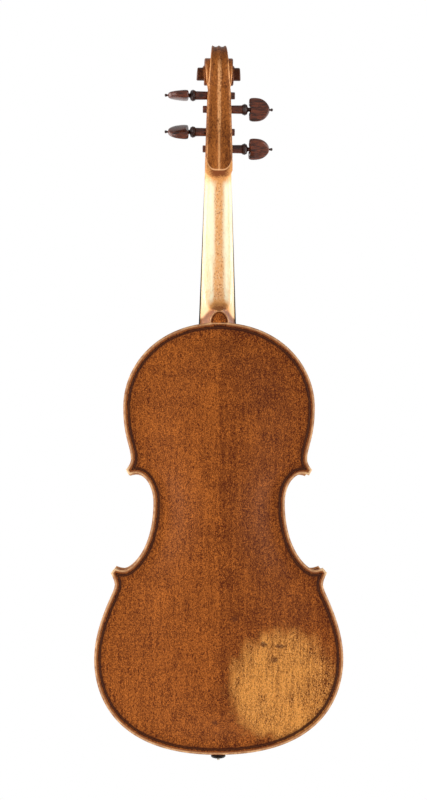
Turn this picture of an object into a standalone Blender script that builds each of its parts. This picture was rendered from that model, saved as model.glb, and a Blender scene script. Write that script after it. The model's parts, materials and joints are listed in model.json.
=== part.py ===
"""A viola: a two-piece arched back and belly, ribs, linings and blocks, a neck with pegbox
and scroll, four turning pegs with wound strings, a bridge, a tailpiece and an end button.

Metres. +Z runs up the neck to the scroll, the belly faces -Y and the back faces +Y, and the
treble side is +X. Shapes are drawn in body coordinates, with z = 0 at the body's lower edge,
y = 0 at the belly's edge and x = 0 at the centre joint. One empty carries them all, so that
the scroll's throat, where a hanger holds the viola, is at the origin.
"""

import math

import bmesh
import bpy
import numpy as np
from mathutils import Matrix, Vector
from mathutils.bvhtree import BVHTree

# Body
bodyLength = 0.400
ribHeight = 0.037
edgeThickness = 0.0043
overhang = 0.003
ribThickness = 0.0012
backRise = 0.0160
bellyRise = 0.0180
channelLift = 0.0034
backCentreThickness = 0.0044
bellyCentreThickness = 0.0031
archInset = 0.0110
archEndInset = 0.0380
purflingInset = 0.0042
purflingWidth = 0.0013
purflingDepth = 0.0020
glueGap = 0.0002
fitClearance = 0.0003

# Half outline: each pair is a distance from the centre joint and one down from the top edge
topHandle = 0.056
upperBout = (0.0896, 0.0792)
upperNarrow = (0.0822, 0.1286)
upperCorner = (0.0868, 0.1380)
waistUpperCorner = (0.0840, 0.1432)
waistTop = (0.0773, 0.1419)
waist = (0.0612, 0.1689)
waistBottom = (0.0885, 0.2306)
waistLowerCorner = (0.0964, 0.2288)
lowerCorner = (0.1004, 0.2336)
lowerNarrow = (0.0965, 0.2450)
lowerBout = (0.1152, 0.3124)
bottomHandle = 0.099

# Back button, where the heel is glued
buttonHalfWidth = 0.0092
buttonHeight = 0.0112

# Neck, measured in the plane that carries the fingerboard
neckAngle = math.radians(6.3)
overstand = 0.0080
neckLength = 0.149
nutHalfWidth = 0.01275
bodyHalfWidth = 0.0169
neckDepthAtNut = 0.0131
neckDepthAtBody = 0.0143
heelWidthAtButton = 0.0086
rootDepth = 0.0070
rootClearance = 0.0003

# Fingerboard and nut
boardLength = 0.300
boardEndHalfWidth = 0.02375
boardEdge = 0.0050
boardRadius = 0.042
nutLength = 0.0060
nutAboveBoard = 0.0010
nutFall = 0.0016

# Head, in (u, v): u up from the nut along the neck, v back from the fingerboard's plane
eye = (0.0953, 0.0020)
mortiseHalfBottom = 0.0077
mortiseHalfTop = 0.0062
chinDepth = 0.0270
volutePitchAngle = 20

# Pegs: axis height u, depth v, side of the head (+1 treble), turn about the axis in degrees
pegs = {
    "d": (0.0732, 0.0112, 1, 4),
    "g": (0.0600, 0.0122, -1, 90),
    "a": (0.0384, 0.0115, 1, 38),
    "c": (0.0226, 0.0100, -1, 42),
}
pegRadiusHead = 0.0041
pegRadiusTip = 0.0034
pegCollarAt = 0.0233
pegTipAt = 0.0148
pegClearance = 0.0003

# Strings, bass to treble: place at the nut, place on the bridge, radius
strings = {
    "c": (-0.0081, -0.0186, 0.00060),
    "g": (-0.0027, -0.0062, 0.00052),
    "d": (0.0027, 0.0062, 0.00044),
    "a": (0.0081, 0.0186, 0.00036),
}
windingLoops = 3
loopPoints = 20
windingGap = 0.0006

# Bridge, sound post, bar and tailpiece
bodyStop = 0.219
bridgeTopY = -0.0510
bridgeRadius = 0.050
bridgeHalfFeet = 0.0240
soundPostX = 0.0185
soundPostRadius = 0.0033
barX = -0.0175
barHalfWidth = 0.0027
tailpieceLength = 0.114
tailpieceBottom = 0.0090
fretBelowTop = 0.0030
slotBelowFret = 0.0085
neckBlockHalf = 0.027
neckBlockDepth = 0.0225
endBlockHalf = 0.0235
endBlockDepth = 0.0215
barEnds = (0.18, 0.83)
saddleHalfWidth = 0.0175
saddleDepth = 0.0068
endButtonRadius = 0.0066

bellyGlue = edgeThickness
backGlue = bellyGlue + ribHeight
bridgeZ = bodyLength - bodyStop
nutZ = bodyLength + neckLength
lean = (math.sin(neckAngle), math.cos(neckAngle))


def onNeck(u, v):
    """The (y, z) of a point u above the nut and v behind the fingerboard's plane."""
    nutY = -overstand + neckLength * math.tan(neckAngle)
    return nutY + u * lean[0] + v * lean[1], nutZ + u * lean[1] - v * lean[0]


throat = onNeck(0.0735, -0.004)

# Scene
for old in list(bpy.data.objects):
    bpy.data.objects.remove(old, do_unlink=True)
viola = bpy.data.collections.new("Viola")
helpers = bpy.data.collections.new("Cutters")
bpy.context.scene.collection.children.link(viola)
bpy.context.scene.collection.children.link(helpers)
carrier = bpy.data.objects.new("hang_point", None)
viola.objects.link(carrier)
carrier.location = (0, -throat[0], -throat[1])

looks = {
    "back varnish": ((0.36, 0.13, 0.04), 0.32, 0),
    "belly varnish": ((0.48, 0.20, 0.06), 0.34, 0),
    "rib varnish": ((0.34, 0.12, 0.04), 0.35, 0),
    "neck maple": ((0.62, 0.42, 0.24), 0.40, 0),
    "plain spruce": ((0.72, 0.55, 0.34), 0.60, 0),
    "purfling": ((0.05, 0.03, 0.02), 0.45, 0),
    "ebony": ((0.02, 0.017, 0.015), 0.30, 0),
    "rosewood": ((0.10, 0.035, 0.02), 0.35, 0),
    "bridge maple": ((0.66, 0.45, 0.24), 0.50, 0),
    "string metal": ((0.60, 0.60, 0.62), 0.30, 1),
    "tail cord": ((0.03, 0.03, 0.03), 0.40, 0),
}
materials = {}
for name, (colour, roughness, metallic) in looks.items():
    material = bpy.data.materials.new(name)
    material.use_nodes = True
    shader = material.node_tree.nodes["Principled BSDF"]
    shader.inputs["Base Color"].default_value = (*colour, 1)
    shader.inputs["Roughness"].default_value = roughness
    shader.inputs["Metallic"].default_value = metallic
    material.diffuse_color = (*colour, 1)
    materials[name] = material


# Building tools
def adopt(name, data, look, parent=carrier):
    """An object for a mesh or curve: a piece of the viola, or a helper if it has no look."""
    thing = bpy.data.objects.new(name, data)
    thing.parent = parent
    if look:
        data.materials.append(materials[look])
        viola.objects.link(thing)
    else:
        helpers.objects.link(thing)
        thing.hide_render = True
        thing.display_type = "WIRE"
    return thing


def place(name, bm, look, parent=carrier):
    """One object from a bmesh in its parent's coordinates."""
    bmesh.ops.remove_doubles(bm, verts=bm.verts, dist=1e-6)
    bmesh.ops.dissolve_degenerate(bm, edges=bm.edges, dist=1e-7)
    bmesh.ops.recalc_face_normals(bm, faces=bm.faces)
    if bm.calc_volume(signed=True) < 0:
        bmesh.ops.reverse_faces(bm, faces=bm.faces)
    mesh = bpy.data.meshes.new(name)
    bm.to_mesh(mesh)
    bm.free()
    mesh.shade_smooth()
    mesh.set_sharp_from_angle(angle=math.radians(35))
    return adopt(name, mesh, look, parent)


def turned(name, profile, steps, look, parent=carrier):
    """A profile of (radius, height), from its top to its bottom, turned about its Z axis."""
    mesh = bpy.data.meshes.new(name)
    points = [(radius, 0, height) for radius, height in profile]
    mesh.from_pydata(points, [(i, i + 1) for i in range(len(points) - 1)], [])
    thing = adopt(name, mesh, look, parent)
    screw = thing.modifiers.new("turning", "SCREW")
    screw.steps = screw.render_steps = steps
    screw.use_merge_vertices = True
    screw.merge_threshold = 0.00005
    return thing


def loftMesh(sections, closed=False):
    """Quads between closed sections that have the same number of points, and flat ends."""
    bm = bmesh.new()
    rows = [[bm.verts.new(point) for point in section] for section in sections]
    count = len(rows[0])
    last = len(rows) if closed else len(rows) - 1
    for i in range(last):
        here, after = rows[i], rows[(i + 1) % len(rows)]
        for k in range(count):
            m = (k + 1) % count
            bm.faces.new((here[k], here[m], after[m], after[k]))
    if not closed:
        bm.faces.new(rows[0][::-1])
        bm.faces.new(rows[-1])
    return bm


def prismMesh(outline, low, high):
    """A flat (x, z) outline, extruded from y = low to y = high."""
    bm = bmesh.new()
    face = bm.faces.new([bm.verts.new((x, low, z)) for x, z in outline])
    made = bmesh.ops.extrude_face_region(bm, geom=[face])["geom"]
    moved = [part for part in made if isinstance(part, bmesh.types.BMVert)]
    bmesh.ops.translate(bm, verts=moved, vec=(0, high - low, 0))
    return bm


def boxMesh(low, high):
    bm = bmesh.new()
    size = [b - a for a, b in zip(low, high)]
    middle = [(a + b) / 2 for a, b in zip(low, high)]
    shape = Matrix.Translation(middle) @ Matrix.Diagonal((*size, 1))
    bmesh.ops.create_cube(bm, size=1, matrix=shape)
    return bm


def rodMesh(start, end, radiusStart, radiusEnd, sides):
    """A cone or cylinder between two points."""
    bm = bmesh.new()
    along = Vector(end) - Vector(start)
    turned = along.to_track_quat("Z", "Y").to_matrix().to_4x4()
    shape = Matrix.Translation((Vector(start) + Vector(end)) / 2) @ turned
    bmesh.ops.create_cone(
        bm,
        cap_ends=True,
        segments=sides,
        radius1=radiusStart,
        radius2=radiusEnd,
        depth=along.length,
        matrix=shape,
    )
    return bm


def boolean(thing, other, operation="DIFFERENCE"):
    step = thing.modifiers.new(other.name, "BOOLEAN")
    step.operation = operation
    step.object = other


def tube(name, points, radius, look, resolution=2, parent=carrier):
    """A tube along a row of points."""
    curve = bpy.data.curves.new(name, "CURVE")
    curve.dimensions = "3D"
    curve.bevel_depth = radius
    curve.bevel_resolution = resolution
    curve.use_fill_caps = True
    spline = curve.splines.new("POLY")
    spline.points.add(len(points) - 1)
    for slot, point in zip(spline.points, points):
        slot.co = (*point, 1)
    adopt(name, curve, look, parent)


# Outline of the half body
def bezier(start, startAim, startReach, end, endAim, endReach, count=40):
    start, end = np.array(start), np.array(end)
    startAim = np.array(startAim) / np.hypot(*startAim)
    endAim = np.array(endAim) / np.hypot(*endAim)
    t = np.linspace(0, 1, count)[:, None]
    first = start + startAim * startReach
    second = end - endAim * endReach
    rest = 1 - t
    return rest**3 * start + 3 * rest**2 * t * first + 3 * rest * t**2 * second + t**3 * end


def joined(*runs):
    return np.concatenate([runs[0]] + [run[1:] for run in runs[1:]])


def upright(run):
    """From distances down the body to heights."""
    return np.column_stack([run[:, 0], bodyLength - run[:, 1]])


upperRun = upright(
    joined(
        bezier((0, 0), (1, 0), topHandle, upperBout, (0, 1), 0.0403),
        bezier(upperBout, (0, 1), 0.0291, upperNarrow, (0, 1), 0.0122),
        bezier(upperNarrow, (0, 1), 0.0030, upperCorner, (0.62, 0.78), 0.0040, 16),
    )
)
waistRun = upright(
    joined(
        bezier(waistUpperCorner, (-1, -0.35), 0.0025, waistTop, (-1, 0), 0.0030, 12),
        bezier(waistTop, (-1, 0), 0.0073, waist, (0, 1), 0.0166),
        bezier(waist, (0, 1), 0.0440, waistBottom, (1, 0), 0.0060),
        bezier(waistBottom, (1, 0), 0.0030, waistLowerCorner, (1, -0.4), 0.0025, 12),
    )
)
lowerRun = upright(
    joined(
        bezier(lowerCorner, (-0.45, 1), 0.0030, lowerNarrow, (0, 1), 0.0045, 16),
        bezier(lowerNarrow, (0, 1), 0.0057, lowerBout, (0, 1), 0.0327),
        bezier(lowerBout, (0, 1), 0.0306, (0, bodyLength), (-1, 0), bottomHandle, 60),
    )
)


def inset(run, distance, lengthen=0.012):
    """A run moved towards the inside of the body, and made longer at its free ends."""
    along = np.gradient(run, axis=0)
    along /= np.linalg.norm(along, axis=1)[:, None]
    moved = run + distance * np.column_stack([along[:, 1], -along[:, 0]])
    first = moved[:1] - along[:1] * lengthen
    last = moved[-1:] + along[-1:] * lengthen
    return np.concatenate([first, moved, last])


def crossing(a, b):
    """Where two runs cross: the point, and how far along each it is."""
    for i in range(len(a) - 1):
        p, r = a[i], a[i + 1] - a[i]
        for j in range(len(b) - 1):
            q, s = b[j], b[j + 1] - b[j]
            cross = r[0] * s[1] - r[1] * s[0]
            if abs(cross) < 1e-14:
                continue
            gap = q - p
            t = (gap[0] * s[1] - gap[1] * s[0]) / cross
            w = (gap[0] * r[1] - gap[1] * r[0]) / cross
            if 0 <= t <= 1 and 0 <= w <= 1:
                return p + t * r, i + t, j + w
    return None


def trimmed(run, start, end):
    """The part of a run between two places along it."""
    inside = np.arange(math.floor(start) + 1, math.ceil(end))
    pick = np.concatenate([[start], inside, [end]])
    index = np.arange(len(run))
    return np.column_stack([np.interp(pick, index, run[:, k]) for k in (0, 1)])


def evenly(run, count, start=0.0, end=1.0):
    """Points at even steps along a run, between two shares of its length."""
    length = np.concatenate([[0], np.cumsum(np.linalg.norm(np.diff(run, axis=0), axis=1))])
    pick = np.linspace(start, end, count + 1) * length[-1]
    return np.column_stack([np.interp(pick, length, run[:, k]) for k in (0, 1)])


def bouts(distance, sharp=False, source=(upperRun, waistRun, lowerRun)):
    """The three runs at an inset, each cut where it meets the next or the corner's end face."""
    upper, middle, lower = (inset(run, distance) for run in source)
    upper = upper[1:]
    lower = lower[:-1]
    starts, ends = [0.0, None, None], [None, None, len(lower) - 1.0]
    runs = [upper, middle, lower]
    ties = ((0, 1, upperRun[-1], waistRun[0]), (1, 2, waistRun[-1], lowerRun[0]))
    for before, after, left, right in ties:
        face = inset(np.array([left, right]), distance)
        first = None if sharp else crossing(runs[before], face)
        second = None if sharp else crossing(runs[after], face)
        if first and second and first[2] < second[2]:
            ends[before], starts[after] = first[1], second[1]
            continue
        apex = crossing(runs[before], runs[after])
        ends[before], starts[after] = apex[1], apex[2]
    return [trimmed(run, a, b) for run, a, b in zip(runs, starts, ends)]


def portion(run, start, end):
    """The part of a run between two shares of its length, with its own points kept."""
    length = np.concatenate([[0], np.cumsum(np.linalg.norm(np.diff(run, axis=0), axis=1))])
    places = np.interp(np.array([start, end]) * length[-1], length, np.arange(len(run)))
    return trimmed(run, *places)


upperSteps, waistSteps, lowerSteps, topSteps = 12, 9, 14, 4
topEnd = 0.0110


def ring(distance, button=False):
    """Points of the half outline at an inset, from the top centre to the bottom centre."""
    upper, middle, lower = bouts(distance)
    split = np.interp(topEnd, upper[:40, 0], np.arange(40))
    top = evenly(trimmed(upper, 0, split), topSteps)
    if button:
        angle = np.linspace(math.pi / 2, 0, topSteps)[:, None]
        reach = (buttonHalfWidth - distance, buttonHeight)
        bulge = np.hstack([np.cos(angle) * reach[0], np.sin(angle) * reach[1]])
        top[:-1] = bulge + [0, bodyLength - distance]
    upper = evenly(trimmed(upper, split, len(upper) - 1.0), upperSteps)
    middle = evenly(middle, waistSteps)
    lower = evenly(lower, lowerSteps)
    points = np.concatenate([top[:-1], upper, middle, lower])
    points[0, 0] = points[-1, 0] = 0
    return points


archRing = ring(archInset)
stride = np.linalg.norm(np.diff(archRing, axis=0), axis=1)
fall = np.maximum(np.abs(np.diff(archRing[:, 1])), 0.25 * stride)
share = np.concatenate([[0], np.cumsum(fall)]) / fall.sum()


def eased(values, passes):
    """Values along the outline with their corners worn round, and the two ends kept."""
    values = np.array(values)
    for _ in range(passes):
        values[1:-1] = (values[:-2] + 2 * values[1:-1] + values[2:]) / 4
    return values


spineZ = eased((bodyLength - archEndInset) * (1 - share) + archEndInset * share, 12)
softRing = np.column_stack([eased(archRing[:, k], 6) for k in (0, 1)])


def archAt(rise, thickness, s):
    """Points of one arch level, and how high its outside and inside are over the glue plane."""
    soft = min(s / 0.4, 1)
    points = (archRing * (1 - soft) + softRing * soft) * (1 - s)
    points[:, 1] += spineZ * s
    long = (spineZ - bodyLength * 0.47) / (bodyLength / 2 - archEndInset)
    crest = rise * (1 - 0.16 * long**2)
    outside = channelLift + (crest - channelLift) * (0.5 - 0.5 * math.cos(math.pi * s**0.80))
    inside = np.maximum(outside - (channelLift + (thickness - channelLift) * s), 0)
    return points, outside, inside


def halfPlate(name, look, side, glue, out, rise, thickness, button):
    """One half of an arched plate, hollowed inside, with a groove for the inlay."""
    grooveFloor = edgeThickness - purflingDepth
    flat = [
        (0, edgeThickness - 0.0012, button),
        (0.0012, edgeThickness, button),
        (purflingInset, edgeThickness, False),
        (purflingInset, grooveFloor, False),
        (purflingInset + purflingWidth, grooveFloor, False),
        (purflingInset + purflingWidth, edgeThickness - 0.0004, False),
    ]
    levels = [(ring(d, b), np.full(len(archRing), lift)) for d, lift, b in flat]
    for s in (0, 0.20, 0.42, 0.68, 1):
        points, outside, inside = archAt(rise, thickness, s)
        levels.append((points, outside))
    for s in (1, 0.66, 0.33, 0):
        points, outside, inside = archAt(rise, thickness, s)
        levels.append((points, inside))
    levels.append((ring(0.0008, button), np.zeros(len(archRing))))
    levels.append((ring(0, button), np.full(len(archRing), 0.0009)))
    sections = [
        [(side * points[i, 0], glue + out * lift[i], points[i, 1]) for points, lift in levels]
        for i in range(len(archRing))
    ]
    return place(name, loftMesh(sections), look)


backs = [
    halfPlate(name, "back varnish", side, backGlue, 1, backRise, backCentreThickness, True)
    for name, side in (("back_bass", -1), ("back_treble", 1))
]
bellies = [
    halfPlate(name, "belly varnish", side, bellyGlue, -1, bellyRise, bellyCentreThickness, False)
    for name, side in (("belly_bass", -1), ("belly_treble", 1))
]


# Purfling: a strip laid flush in each groove
def purflingSection(glue, out):
    inner = ring(purflingInset + purflingWidth - 0.00015)
    outer = ring(purflingInset + 0.00015)
    floor = edgeThickness - purflingDepth
    section = []
    for lift, points in ((floor, outer), (floor, inner), (-0.0004, inner), (-0.0001, outer)):
        height = lift if lift == floor else edgeThickness + lift
        section.append((points, glue + out * height))
    return section


def purflingSide(section, side):
    count = len(section[0][0])
    return [
        [(side * points[i, 0], y, points[i, 1]) for points, y in section] for i in range(count)
    ]


backLoop = purflingSection(backGlue, 1)
loop = purflingSide(backLoop, 1) + purflingSide(backLoop, -1)[-2:0:-1]
place("purfling_back", loftMesh(loop, closed=True), "purfling")
bellyLoop = purflingSection(bellyGlue, -1)
bellyPurflings = [
    place(name, loftMesh(purflingSide(bellyLoop, side)), "purfling")
    for name, side in (("purfling_belly_bass", -1), ("purfling_belly_treble", 1))
]

# Ribs and linings
ribOutside = bouts(overhang, sharp=True)
ribInside = bouts(overhang + ribThickness, sharp=True)
boutNames = ("upper", "waist", "lower")
ribSteps = (15, 12, 19)
ribOuter = [evenly(run, steps) for run, steps in zip(ribOutside, ribSteps)]
ribInner = [evenly(run, steps) for run, steps in zip(ribInside, ribSteps)]
for shapes in (ribOuter, ribInner):
    shapes[0][0, 0] = shapes[2][-1, 0] = 0
liningRuns = bouts(glueGap, True, ribInner)
liningWidth = 0.0022
liningShares = ((0.152, 0.885), (0.235, 0.765), (0.105, 0.893))
liningDepth = 0.0078
ribs = {}
for k, bout in enumerate(boutNames):
    outer, inner = ribOuter[k], ribInner[k]
    liningOuter = portion(liningRuns[k], *liningShares[k])
    liningInner = inset(liningOuter, liningWidth)[1:-1]
    for hand, side in (("bass", -1), ("treble", 1)):
        sections = [
            [
                (side * outer[i, 0], bellyGlue, outer[i, 1]),
                (side * outer[i, 0], backGlue, outer[i, 1]),
                (side * inner[i, 0], backGlue, inner[i, 1]),
                (side * inner[i, 0], bellyGlue, inner[i, 1]),
            ]
            for i in range(len(outer))
        ]
        name = f"rib_{bout}_{hand}"
        ribs[name] = place(name, loftMesh(sections), "rib varnish")
        for plate, glue, inwards in (("belly", bellyGlue, 1), ("back", backGlue, -1)):
            deep, shallow = (glue + inwards * liningDepth * part for part in (1, 0.35))
            sections = [
                [
                    (side * a[0], glue, a[1]),
                    (side * a[0], deep, a[1]),
                    (side * m[0], deep, m[1]),
                    (side * b[0], shallow, b[1]),
                    (side * b[0], glue, b[1]),
                ]
                for a, m, b in zip(liningOuter, 0.6 * liningOuter + 0.4 * liningInner, liningInner)
            ]
            place(f"lining_{bout}_{plate}_{hand}", loftMesh(sections), "plain spruce")


# Blocks
for hand, side in (("bass", -1), ("treble", 1)):
    upperBlock = joined(portion(liningRuns[0], 0.89, 1), portion(liningRuns[1], 0, 0.215))
    lowerBlock = joined(portion(liningRuns[1], 0.78, 1), portion(liningRuns[2], 0, 0.095))
    for name, outline in (("corner_block_upper", upperBlock), ("corner_block_lower", lowerBlock)):
        sections = [[(side * x, y, z) for x, z in outline[::-side]] for y in (bellyGlue, backGlue)]
        place(f"{name}_{hand}", loftMesh(sections), "plain spruce")


def endOutline(run, halfWidth, inner, steps):
    """A block outline: the curve of the ribs over its width, and a straight inner face."""
    xs = np.linspace(0, halfWidth, steps)
    order = np.argsort(run[:, 0])
    zs = np.interp(xs, run[order, 0], run[order, 1])
    side = list(zip(xs, zs))
    other = [(-x, z) for x, z in side[1:]]
    return [(halfWidth, inner)] + side[::-1] + other + [(-halfWidth, inner)]


topCurve = liningRuns[0][:6]
bottomCurve = liningRuns[2][-6:]
topOutline = endOutline(topCurve, neckBlockHalf, bodyLength - neckBlockDepth, 5)
bottomOutline = endOutline(bottomCurve, endBlockHalf, endBlockDepth, 4)
neckBlock = place("neck_block", prismMesh(topOutline, bellyGlue, backGlue), "plain spruce")
endBlock = place("end_block", prismMesh(bottomOutline, bellyGlue, backGlue), "plain spruce")


# Neck, heel and pegbox: one loft of sections between the front plane and the back line
neckSoftness = 0.89
edgeBreak = 0.0015
fluteAt = 0.52
fluteDepth = 0.0011


def sectionPoints(front, back, half, halfBack, roundness, fluted, shrink=0.0):
    """Thirteen points from one front edge round the back to the other."""
    points = []
    depth = math.dist(front, back)
    if fluted:
        hardX = (half, half, half, half, half - edgeBreak, half * fluteAt, 0)
        breaks = (edgeBreak, 0.0002, fluteDepth)
        hardV = (0, depth * 0.33, depth * 0.66, *(depth - cut for cut in breaks), depth)
    else:
        taper = halfBack - half
        sides = tuple(half + taper * down for down in (0, 0.3, 0.6, 0.92))
        hardX = (*sides, halfBack - 0.0012, halfBack * 0.5, 0)
        hardV = tuple(depth * down for down in (0, 0.3, 0.6, 0.92, 1, 1, 1))
    for k in range(13):
        angle = math.pi * k / 12
        c, s = math.cos(angle), math.sin(angle)
        softX = half * math.copysign(abs(c) ** neckSoftness, c)
        softV = depth * abs(s) ** neckSoftness
        m = min(k, 12 - k)
        sign = 1 if k <= 6 else -1
        x = roundness * softX + (1 - roundness) * sign * hardX[m]
        v = roundness * softV + (1 - roundness) * hardV[m]
        x *= 1 - shrink / half
        v = shrink + v * (1 - 2 * shrink / depth)
        share = v / depth
        y = front[0] + (back[0] - front[0]) * share
        z = front[1] + (back[1] - front[1]) * share
        points.append((x, y, z))
    return points


def glueLine(z):
    return -overstand + (z - bodyLength) * math.tan(neckAngle)


def neckHalf(z):
    share = min(max((z - bodyLength) / neckLength, -0.08), 1)
    return bodyHalfWidth + (nutHalfWidth - bodyHalfWidth) * share


def heelSections():
    """Stations of the root and heel, each from the fingerboard's plane to the heel's back."""
    floor = -overhang - rootDepth
    wide = heelWidthAtButton
    stations = [
        (floor, 0.0, floor, wide, 0.0),
        (-0.0010, 0.0, -0.0010, wide, 0.0),
        (0.0035, 0.0, 0.0055, wide * 0.90, 0.0),
        (0.0065, 0.0, 0.0088, wide * 0.64, 0.0),
        (0.0085, 0.0002, 0.0108, wide * 0.34, 0.0),
        (0.0115, 0.0045, 0.0128, wide * 0.50, 0.15),
        (0.0160, 0.0115, 0.0154, wide * 0.75, 0.35),
        (0.0215, 0.0185, 0.0192, wide, 0.6),
        (0.0280, 0.0250, 0.0258, wide, 0.9),
    ]
    made = []
    for frontUp, forward, backUp, halfBack, roundness in stations:
        frontZ = bodyLength + frontUp
        front = (glueLine(frontZ), frontZ)
        back = (backGlue - forward, bodyLength + backUp)
        made.append(sectionPoints(front, back, neckHalf(frontZ), halfBack, roundness, False))
    return made


neckSections = heelSections()
for share in (0.27, 0.42, 0.58, 0.74, 0.88, 0.955):
    u = neckLength / lean[1] * (share - 1)
    depth = neckDepthAtBody + (neckDepthAtNut - neckDepthAtBody) * share
    half = neckHalf(bodyLength + neckLength * share)
    neckSections.append(
        sectionPoints(onNeck(u, 0), onNeck(u, depth), half, half, 1.0, False)
    )
# Chin and pegbox: u of the front edge, its v, u of the back line, its v, half width, roundness
pegboxStations = [
    (-0.0035, 0.0, -0.0045, neckDepthAtNut + 0.0025, nutHalfWidth, 0.8),
    (-0.0015, 0.0, -0.0035, chinDepth - 0.0075, nutHalfWidth, 0.5),
    (0.0010, 0.0, -0.0010, chinDepth - 0.0030, 0.01285, 0.25),
    (0.0050, 0.0005, 0.0035, chinDepth - 0.0004, 0.01290, 0.0),
    (0.0150, 0.0015, 0.0140, chinDepth + 0.0003, 0.01275, 0.0),
    (0.0330, 0.0030, 0.0330, chinDepth - 0.0007, 0.01235, 0.0),
    (0.0520, 0.0040, 0.0520, chinDepth - 0.0022, 0.01180, 0.0),
    (0.0660, 0.0030, 0.0670, chinDepth - 0.0033, 0.01130, 0.0),
    (0.0760, 0.0010, 0.0770, chinDepth - 0.0032, 0.01085, 0.0),
]
for frontU, frontV, backU, backV, half, roundness in pegboxStations:
    neckSections.append(
        sectionPoints(onNeck(frontU, frontV), onNeck(backU, backV), half, half, roundness, True)
    )
# The last station lies inside the volute, so it is a little smaller all round.
lastEnds = onNeck(0.0850, 0.0010), onNeck(0.0860, chinDepth - 0.0022)
neckSections.append(sectionPoints(*lastEnds, 0.0101, 0.0101, 0.0, True, 0.0016))
neck = place("neck_and_scroll", loftMesh(neckSections), "neck maple")

# Volute: angle, radius and half width, from the throat round to the eye
voluteTurns = [
    (-35, 0.0267, 0.0106),
    (0, 0.0255, 0.0094),
    (90, 0.0270, 0.0067),
    (180, 0.0236, 0.0067),
    (270, 0.0192, 0.0098),
    (360, 0.0172, 0.0128),
    (450, 0.0146, 0.0139),
    (540, 0.0124, 0.0146),
    (630, 0.0108, 0.0154),
    (720, 0.0092, 0.0165),
    (810, 0.0078, 0.0180),
    (900, 0.0067, 0.0203),
    (1080, 0.0062, 0.0205),
    (1260, 0.0060, 0.0205),
]
quarterTurns, voluteRadius, voluteHalf = zip(*voluteTurns)
voluteStart = quarterTurns[0]


def along(at, places, values):
    """A smooth curve through the quarter-turn values."""
    i = min(max(int(np.searchsorted(places, at)) - 1, 0), len(places) - 2)
    slopes = np.gradient(np.array(values), np.array(places, float))
    width = places[i + 1] - places[i]
    t = (at - places[i]) / width
    a = (1 + 2 * t) * (1 - t) ** 2 * values[i] + t * t * (3 - 2 * t) * values[i + 1]
    b = t * (1 - t) ** 2 * slopes[i] * width + t * t * (t - 1) * slopes[i + 1] * width
    return a + b


def volutePoint(angle, x, inwards=0.0):
    radius = along(angle, quarterTurns, voluteRadius) - inwards
    spin = math.radians(angle)
    y, z = onNeck(eye[0] + radius * math.sin(spin), eye[1] + radius * math.cos(spin))
    return (x, y, z)


def voluteMesh():
    """Stepped turns on both sides of a fluted rim, closed where the pegbox takes over."""
    bm = bmesh.new()
    step = volutePitchAngle
    count = (quarterTurns[-1] - voluteStart) // step
    turn = 360 // step
    angles = [voluteStart + step * i for i in range(count + 1)]
    halves = [along(angle, quarterTurns, voluteHalf) for angle in angles]
    sides = {}
    for side in (-1, 1):
        top = [bm.verts.new(volutePoint(a, side * w)) for a, w in zip(angles, halves)]
        foot = [None] * turn
        for i in range(turn, count + 1):
            foot.append(bm.verts.new(volutePoint(angles[i], side * halves[i - turn])))
        sides[side] = (top, foot)
        for i in range(count + 1 - turn - 1):
            bm.faces.new((top[i], top[i + 1], foot[i + turn + 1], foot[i + turn]))
        for i in range(turn, count):
            bm.faces.new((foot[i], foot[i + 1], top[i + 1], top[i]))
        last = count - turn
        y, z = onNeck(*eye)
        middle = bm.verts.new((side * (halves[-1] + 0.0006), y, z))
        for i in range(last, count):
            bm.faces.new((top[i], top[i + 1], middle))
        bm.faces.new((top[count], top[last], middle))
        bm.faces.new((top[last], top[count], foot[count]))
    lowLeft, lowRight = sides[-1][1][turn], sides[1][1][turn]
    rows = []
    for i in range(turn + 1):
        w = halves[i]
        flute = fluteDepth * (1 - (i / turn) ** 4)
        row = [sides[-1][0][i]]
        for across, dip in ((-fluteAt, flute), (0, 0), (fluteAt, flute)):
            row.append(bm.verts.new(volutePoint(angles[i], across * w, dip)))
        row.append(sides[1][0][i])
        rows.append(row)
    begin, end = rows[0], rows[-1]
    for a, b in zip(rows[:-1], rows[1:]):
        for k in range(4):
            corners = [a[k], a[k + 1], b[k + 1], b[k]]
            if b is end and k == 0:
                corners.insert(3, lowLeft)
            if b is end and k == 3:
                corners.insert(3, lowRight)
            bm.faces.new(corners)
    bm.faces.new((*begin, lowRight, end[3], end[2], end[1], lowLeft))
    return bm


volute = place("volute", voluteMesh(), None)
boolean(neck, volute, "UNION")


# Pegbox mortise, open to the front
def mortiseMesh():
    stations = [
        (0.0075, -0.012, 0.0085, 0.0150, mortiseHalfBottom),
        (0.0100, -0.012, 0.0125, chinDepth - 0.0075, mortiseHalfBottom),
        (0.0350, -0.012, 0.0360, chinDepth - 0.0075, mortiseHalfBottom - 0.0003),
        (0.0600, -0.012, 0.0620, chinDepth - 0.0080, mortiseHalfTop + 0.0003),
        (0.0755, -0.012, 0.0800, chinDepth - 0.0095, mortiseHalfTop),
    ]
    sections = []
    for frontU, frontV, backU, backV, half in stations:
        front, back = onNeck(frontU, frontV), onNeck(backU, backV)
        sections.append([(-half, *front), (half, *front), (half, *back), (-half, *back)])
    return loftMesh(sections)


boolean(neck, place("mortise", mortiseMesh(), None))

# Pegs
pegProfile = [
    (0.0000, 0.0520),
    (0.0010, 0.0519),
    (0.0014, 0.0508),
    (0.0010, 0.0497),
    (0.0009, 0.0478),
    (0.0016, 0.0440),
    (0.0021, 0.0306),
    (0.0030, 0.0290),
    (0.0049, 0.0281),
    (0.0055, 0.0266),
    (0.0052, 0.0246),
    (0.0042, pegCollarAt),
    (pegRadiusHead, pegCollarAt - 0.0008),
    (pegRadiusTip, -pegTipAt),
    (0.0026, -pegTipAt - 0.0006),
    (0.0000, -pegTipAt - 0.0006),
]


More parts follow.
